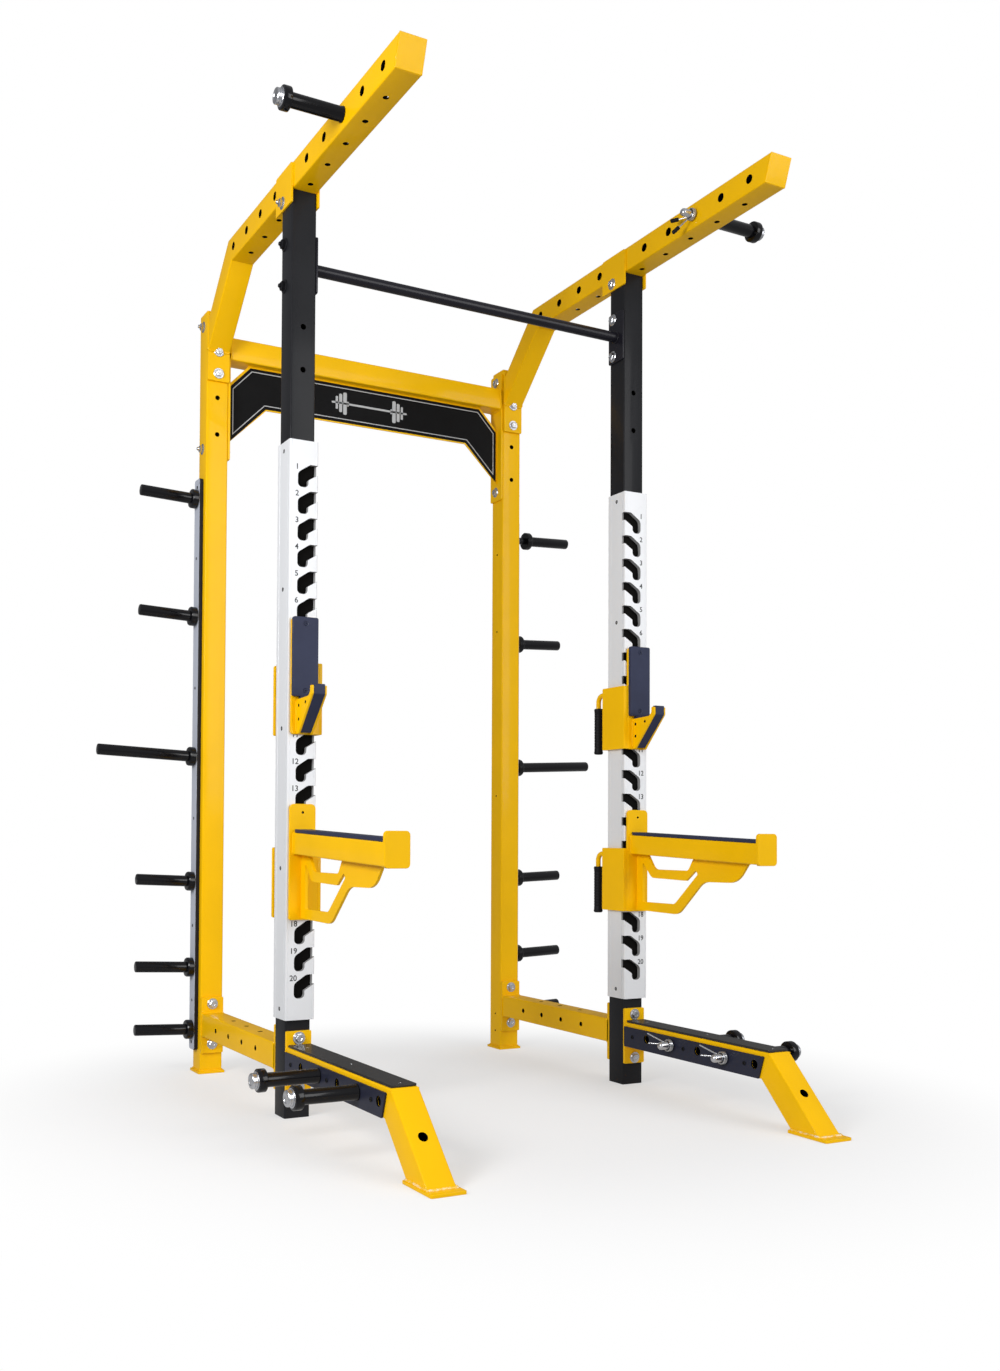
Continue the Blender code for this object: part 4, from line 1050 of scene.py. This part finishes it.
def j_hook(side, name):
    body = f"j_hook_{name}"
    x = ux(side)
    low, wrap_high, high = 1.079, 1.283, 1.406
    y = HOOK_FACE
    outline = panel(x - 0.038, x + 0.038, low, high, 0.008, 0.007, 5)
    solids = [shaped(prism(outline, "y", HOOK_FACE, HOOK_BACK), bevel=0.0010)]
    solids += wrap(side, low + 0.001, wrap_high, (9, 10))
    cheek = rounded([(y + 0.003, low + 0.001, 0), (y + 0.003, 1.176, 0), (y - 0.084, 1.180, 0.008),
                     (y - 0.096, 1.189, 0.008), (y - 0.0975, 1.207, 0.003), (y - 0.111, 1.207, 0.003),
                     (y - 0.111, 1.183, 0.006), (y - 0.0155, low + 0.001, 0.004)], 5)
    rivets = ((0.016, 1.159), (0.016, 1.120), (0.064, 1.164))
    screws = []
    for sign in (-1, 1):
        a, b = sorted((x + sign * 0.0165, x + sign * 0.0225))
        holes = merge(*[rod((x + sign * 0.010, y - dy, z), (x + sign * 0.030, y - dy, z), 0.0046, 20)
                        for dy, z in rivets])
        solids.append(shaped(prism(cheek, "x", a, b), (holes,), bevel=0.0008))
        for dy, z in rivets:
            screws += screw_head((x + sign * 0.0185, y - dy, z), X * sign, 0.0043, 0.0020)
        solids.append(upright_weld(x + sign * 0.0232, y - 0.0012, low + 0.006, 1.172, 0.0026))
    clad(f"j_hook_bracket_{name}", "shell", body, YELLOW, "yellow", *solids)
    piece(f"j_hook_bracket_{name}_rivets", body, RUBBER, "black", *screws)

    pad_outline = panel(x - 0.0385, x + 0.0385, CUP_Z + GAP, high + 0.004, 0.006, 0.006, 5)
    pad_screws = (1.391, 1.201)
    sinks = merge(*[drum(0.0068, 0.0040, (x, y - 0.0087, z), -Y, 24) for z in pad_screws])
    pad = shaped(prism(pad_outline, "y", HOOK_FACE - GAP - PAD, HOOK_FACE - GAP), (sinks,),
                 bevel=0.0014, segments=3)
    clad(f"j_hook_pad_{name}", "plate", body, PLASTIC, "plastic", pad, cut=CUT_PLASTIC)
    heads = []
    for z in pad_screws:
        heads += screw_head((x, y - 0.0088, z), -Y, 0.0060, 0.0030)
    piece(f"j_hook_pad_{name}_screws", body, PLASTIC, "black", *heads)

    core = rounded([(y - GAP, low + 0.005, 0), (y - GAP, CUP_Z, 0), (y - 0.086, CUP_Z, 0.010),
                    (y - 0.096, CUP_Z + 0.010, 0.006), (y - 0.096, 1.211, 0.003), (y - 0.1125, 1.211, 0.003),
                    (y - 0.1125, 1.182, 0.006), (y - 0.0165, low + 0.005, 0.003)], 5)
    liner = shaped(prism(core, "x", x - 0.01625, x + 0.01625), bevel=0.0008)
    clad(f"j_hook_cup_liner_{name}", "core", body, PLASTIC, "plastic", liner)
    grip(side, name, "j_hook", body, wrap_high)


def arm_z(y):
    return 0.7715 - (HOOK_FACE - y) * math.tan(math.radians(2.2))


def spotter_arm(side, name):
    body = f"spotter_{name}"
    x = ux(side)
    low, wrap_high, high = 0.557, 0.760, 0.883
    outline = panel(x - 0.039, x + 0.039, low, high, 0.006, 0.014, 6)
    hole = rod((x, HOOK_BACK + 0.01, 0.859), (x, HOOK_FACE - 0.01, 0.859), 0.0034, 20)
    solids = [shaped(prism(outline, "y", HOOK_FACE, HOOK_BACK), (hole,), bevel=0.0010)]
    solids += wrap(side, low + 0.001, wrap_high, (16, 17))
    y0, y1 = HOOK_FACE, FRONT_Y - 0.645
    half = 0.030
    stations = [((x, v, arm_z(v) + half), (x, v, arm_z(v) - half)) for v in (y0 + 0.003, y1 - 0.004)]
    vent = rod((x, y1 + 0.025, arm_z(y1) - half - 0.01), (x, y1 + 0.025, arm_z(y1)), 0.004, 20)
    solids.append(shaped(square_tube(stations, X, half, 0.004), (vent,)))
    stop = panel(x - 0.035, x + 0.035, 0.716, 0.807, 0.011, 0.011, 6)
    solids.append(shaped(prism(stop, "y", y1 - 0.010, y1), bevel=0.0012))
    z_low, z_high = arm_z(y0) - half, arm_z(y0) + half
    solids.append(frame_weld(side, (-half, half), y0 - 0.001, (z_low, z_high)))
    solids.append(frame_weld(side, (-half, half), y1 + 0.001, (arm_z(y1) - half, arm_z(y1) + half)))
    solids.append(gusset(x))
    f = FRONT_Y
    for dx in (0.0045, -0.0045):
        solids.append(weld([(x + dx, y, arm_z(y) - half - 0.001) for y in (f - 0.582, f - 0.350)], 0.0024))
    clad(f"spotter_arm_{name}", "shell", body, YELLOW, "yellow", *solids)

    top = half + GAP
    front, rear = (y1 + 0.002, arm_z(y1) + top), (y0 - 0.002, arm_z(y0) + top)
    cover = [front, rear, (rear[0], rear[1] + STRIP_T), (front[0], front[1] + STRIP_T)]
    strip_screws = (f - 0.11, f - 0.36, f - 0.60)
    sinks = merge(*[drum(0.0062, 0.006, (x, y, arm_z(y) + top + 0.0072), Z, 24) for y in strip_screws])
    strip = shaped(prism(cover, "x", x - 0.025, x + 0.025), (sinks,), bevel=0.0014, segments=3)
    clad(f"spotter_arm_strip_{name}", "plate", body, PLASTIC, "plastic", strip)
    heads = []
    for y in strip_screws:
        heads += screw_head((x, y, arm_z(y) + top + 0.0071), Z, 0.0056, 0.0020)
    piece(f"spotter_arm_strip_{name}_screws", body, ZINC, "zinc", *heads)
    grip(side, name, "spotter_arm", body, wrap_high)


def gusset(x):
    """The web under the arm, with its upper and lower windows."""
    y = FRONT_Y
    outer = rounded([(HOOK_FACE + 0.003, 0.562, 0), (HOOK_FACE + 0.003, 0.750, 0), (y - 0.590, 0.732, 0),
                     (y - 0.535, 0.664, 0.075), (y - 0.385, 0.662, 0.065), (y - 0.270, 0.558, 0.055)], 12)
    upper = rounded([(y - 0.120, 0.7415, 0.002), (y - 0.155, 0.694, 0.030), (y - 0.316, 0.694, 0.016),
                     (y - 0.342, 0.733, 0.002)], 5)
    lower = rounded([(y - 0.095, 0.589, 0.002), (y - 0.095, 0.716, 0.002), (y - 0.140, 0.667, 0.026),
                     (y - 0.308, 0.663, 0.008), (y - 0.352, 0.696, 0.004), (y - 0.361, 0.684, 0.004),
                     (y - 0.252, 0.589, 0.030)], 8)
    cutters = [prism(upper, "x", x - 0.02, x + 0.02), prism(lower, "x", x - 0.02, x + 0.02)]
    return shaped(prism(outer, "x", x - 0.004, x + 0.004), cutters, bevel=0.0008, inside=0)


# ---------------------------------------------------------------- build


pull_up_bar()
rear_crossmember()
for side, name in SIDES:
    rear_upright(side, name)
    front_upright(side, name)
    hook_sleeve(side, name)
    base_connector(side, name)
    front_leg(side, name)
    top_member(side, name)
    storage(side, name)
    band_peg(side, name, "arm", ARM_HOLES[7], TOP_Z, 0.0)
    band_peg(side, name, "leg_rear", LEG_HOLES[1], BEAM_Z, GAP + COVER)
    band_peg(side, name, "leg_front", LEG_HOLES[3], BEAM_Z, GAP + COVER)
    j_hook(side, name)
    spotter_arm(side, name)


# ---------------------------------------------------------------- stage, light and camera


def stage_floor():
    bm = bmesh.new()
    bmesh.ops.create_grid(bm, x_segments=1, y_segments=1, size=30)
    mesh = bpy.data.meshes.new("floor")
    bm.to_mesh(mesh)
    bm.free()
    floor = linked("floor", mesh)
    floor.location.z = -0.0005
    mat = finish_material("pale floor", (0.88, 0.88, 0.89), 0.75, tone=0.01, tone_scale=1, grain=80,
                          bump=0.02, specular=0.1)
    tree = mat.node_tree
    shader, output = tree.nodes["Principled BSDF"], tree.nodes["Material Output"]
    place = tree.nodes.new("ShaderNodeTexCoord")
    reach = node(tree, "ShaderNodeVectorMath", Operation="LENGTH")
    tree.links.new(place.outputs["Object"], reach.inputs[0])
    fade = map_range(tree, reach.outputs["Value"], 0.7, 1.75, 0.45, 1.0)
    fade.interpolation_type = "SMOOTHSTEP"
    glow = tree.nodes.new("ShaderNodeEmission")
    path = tree.nodes.new("ShaderNodeLightPath")
    level = map_range(tree, path.outputs["Is Camera Ray"], 0.0, 1.0, 0.38, 1.0)
    tree.links.new(level.outputs["Result"], glow.inputs["Strength"])
    blend = tree.nodes.new("ShaderNodeMixShader")
    tree.links.new(fade.outputs["Result"], blend.inputs["Fac"])
    tree.links.new(shader.outputs["BSDF"], blend.inputs[1])
    tree.links.new(glow.outputs["Emission"], blend.inputs[2])
    tree.links.new(blend.outputs["Shader"], output.inputs["Surface"])
    mesh.materials.append(mat)


def area_light(name, location, target, size, power):
    data = bpy.data.lights.new(name, "AREA")
    data.shape = "SQUARE"
    data.size = size
    data.energy = power
    obj = linked(name, data)
    obj.location = location
    obj.rotation_mode = "QUATERNION"
    obj.rotation_quaternion = (Vector(target) - Vector(location)).to_track_quat("-Z", "Y")


def studio():
    """A white room that is brighter towards the front right, and plain white where it is seen directly."""
    world = bpy.data.worlds.new("studio")
    world.use_nodes = True
    tree = world.node_tree
    link = tree.links.new
    soft = tree.nodes["Background"]
    soft.inputs["Color"].default_value = (0.97, 0.98, 1.0, 1)
    place = tree.nodes.new("ShaderNodeTexCoord")
    towards = node(tree, "ShaderNodeVectorMath", Operation="DOT_PRODUCT")
    towards.inputs[1].default_value = (0.10, -0.75, 0.55)
    link(place.outputs["Generated"], towards.inputs[0])
    level = map_range(tree, towards.outputs["Value"], -1.0, 1.0, 0.10, 0.54)
    link(level.outputs["Result"], soft.inputs["Strength"])
    plain = tree.nodes.new("ShaderNodeBackground")
    plain.inputs["Color"].default_value = (1, 1, 1, 1)
    path = tree.nodes.new("ShaderNodeLightPath")
    blend = tree.nodes.new("ShaderNodeMixShader")
    link(path.outputs["Is Camera Ray"], blend.inputs["Fac"])
    link(soft.outputs["Background"], blend.inputs[1])
    link(plain.outputs["Background"], blend.inputs[2])
    link(blend.outputs["Shader"], tree.nodes["World Output"].inputs["Surface"])
    bpy.context.scene.world = world
    area_light("key", (-3.4, -1.4, 2.2), (0, 0, 1.2), 1.4, 94)
    area_light("fill", (2.0, -4.8, 2.6), (0, 0.2, 1.2), 3.2, 122)
    bpy.context.scene.view_settings.view_transform = "Standard"


def camera():
    """The photograph's viewpoint, fitted to the rack's square tubes."""
    yaw, pitch, roll = math.radians(26.974), math.radians(1.492), math.radians(0.3558)
    forward = Vector((math.sin(yaw) * math.cos(pitch), math.cos(yaw) * math.cos(pitch), math.sin(pitch)))
    right = Vector((math.cos(yaw), -math.sin(yaw), 0))
    up = right.cross(forward)
    right_r = right * math.cos(roll) + up * math.sin(roll)
    up_r = up * math.cos(roll) - right * math.sin(roll)
    data = bpy.data.cameras.new("camera")
    data.sensor_width = 36
    data.lens = 33.67
    data.shift_x = 0.0729
    data.shift_y = 0.0856
    obj = linked("camera", data)
    turn = Matrix((right_r, up_r, -forward)).transposed().to_4x4()
    obj.matrix_world = Matrix.Translation((-1.9774, -3.4040 + FRONT_Y, 0.7937)) @ turn
    bpy.context.scene.camera = obj


stage_floor()
studio()
camera()
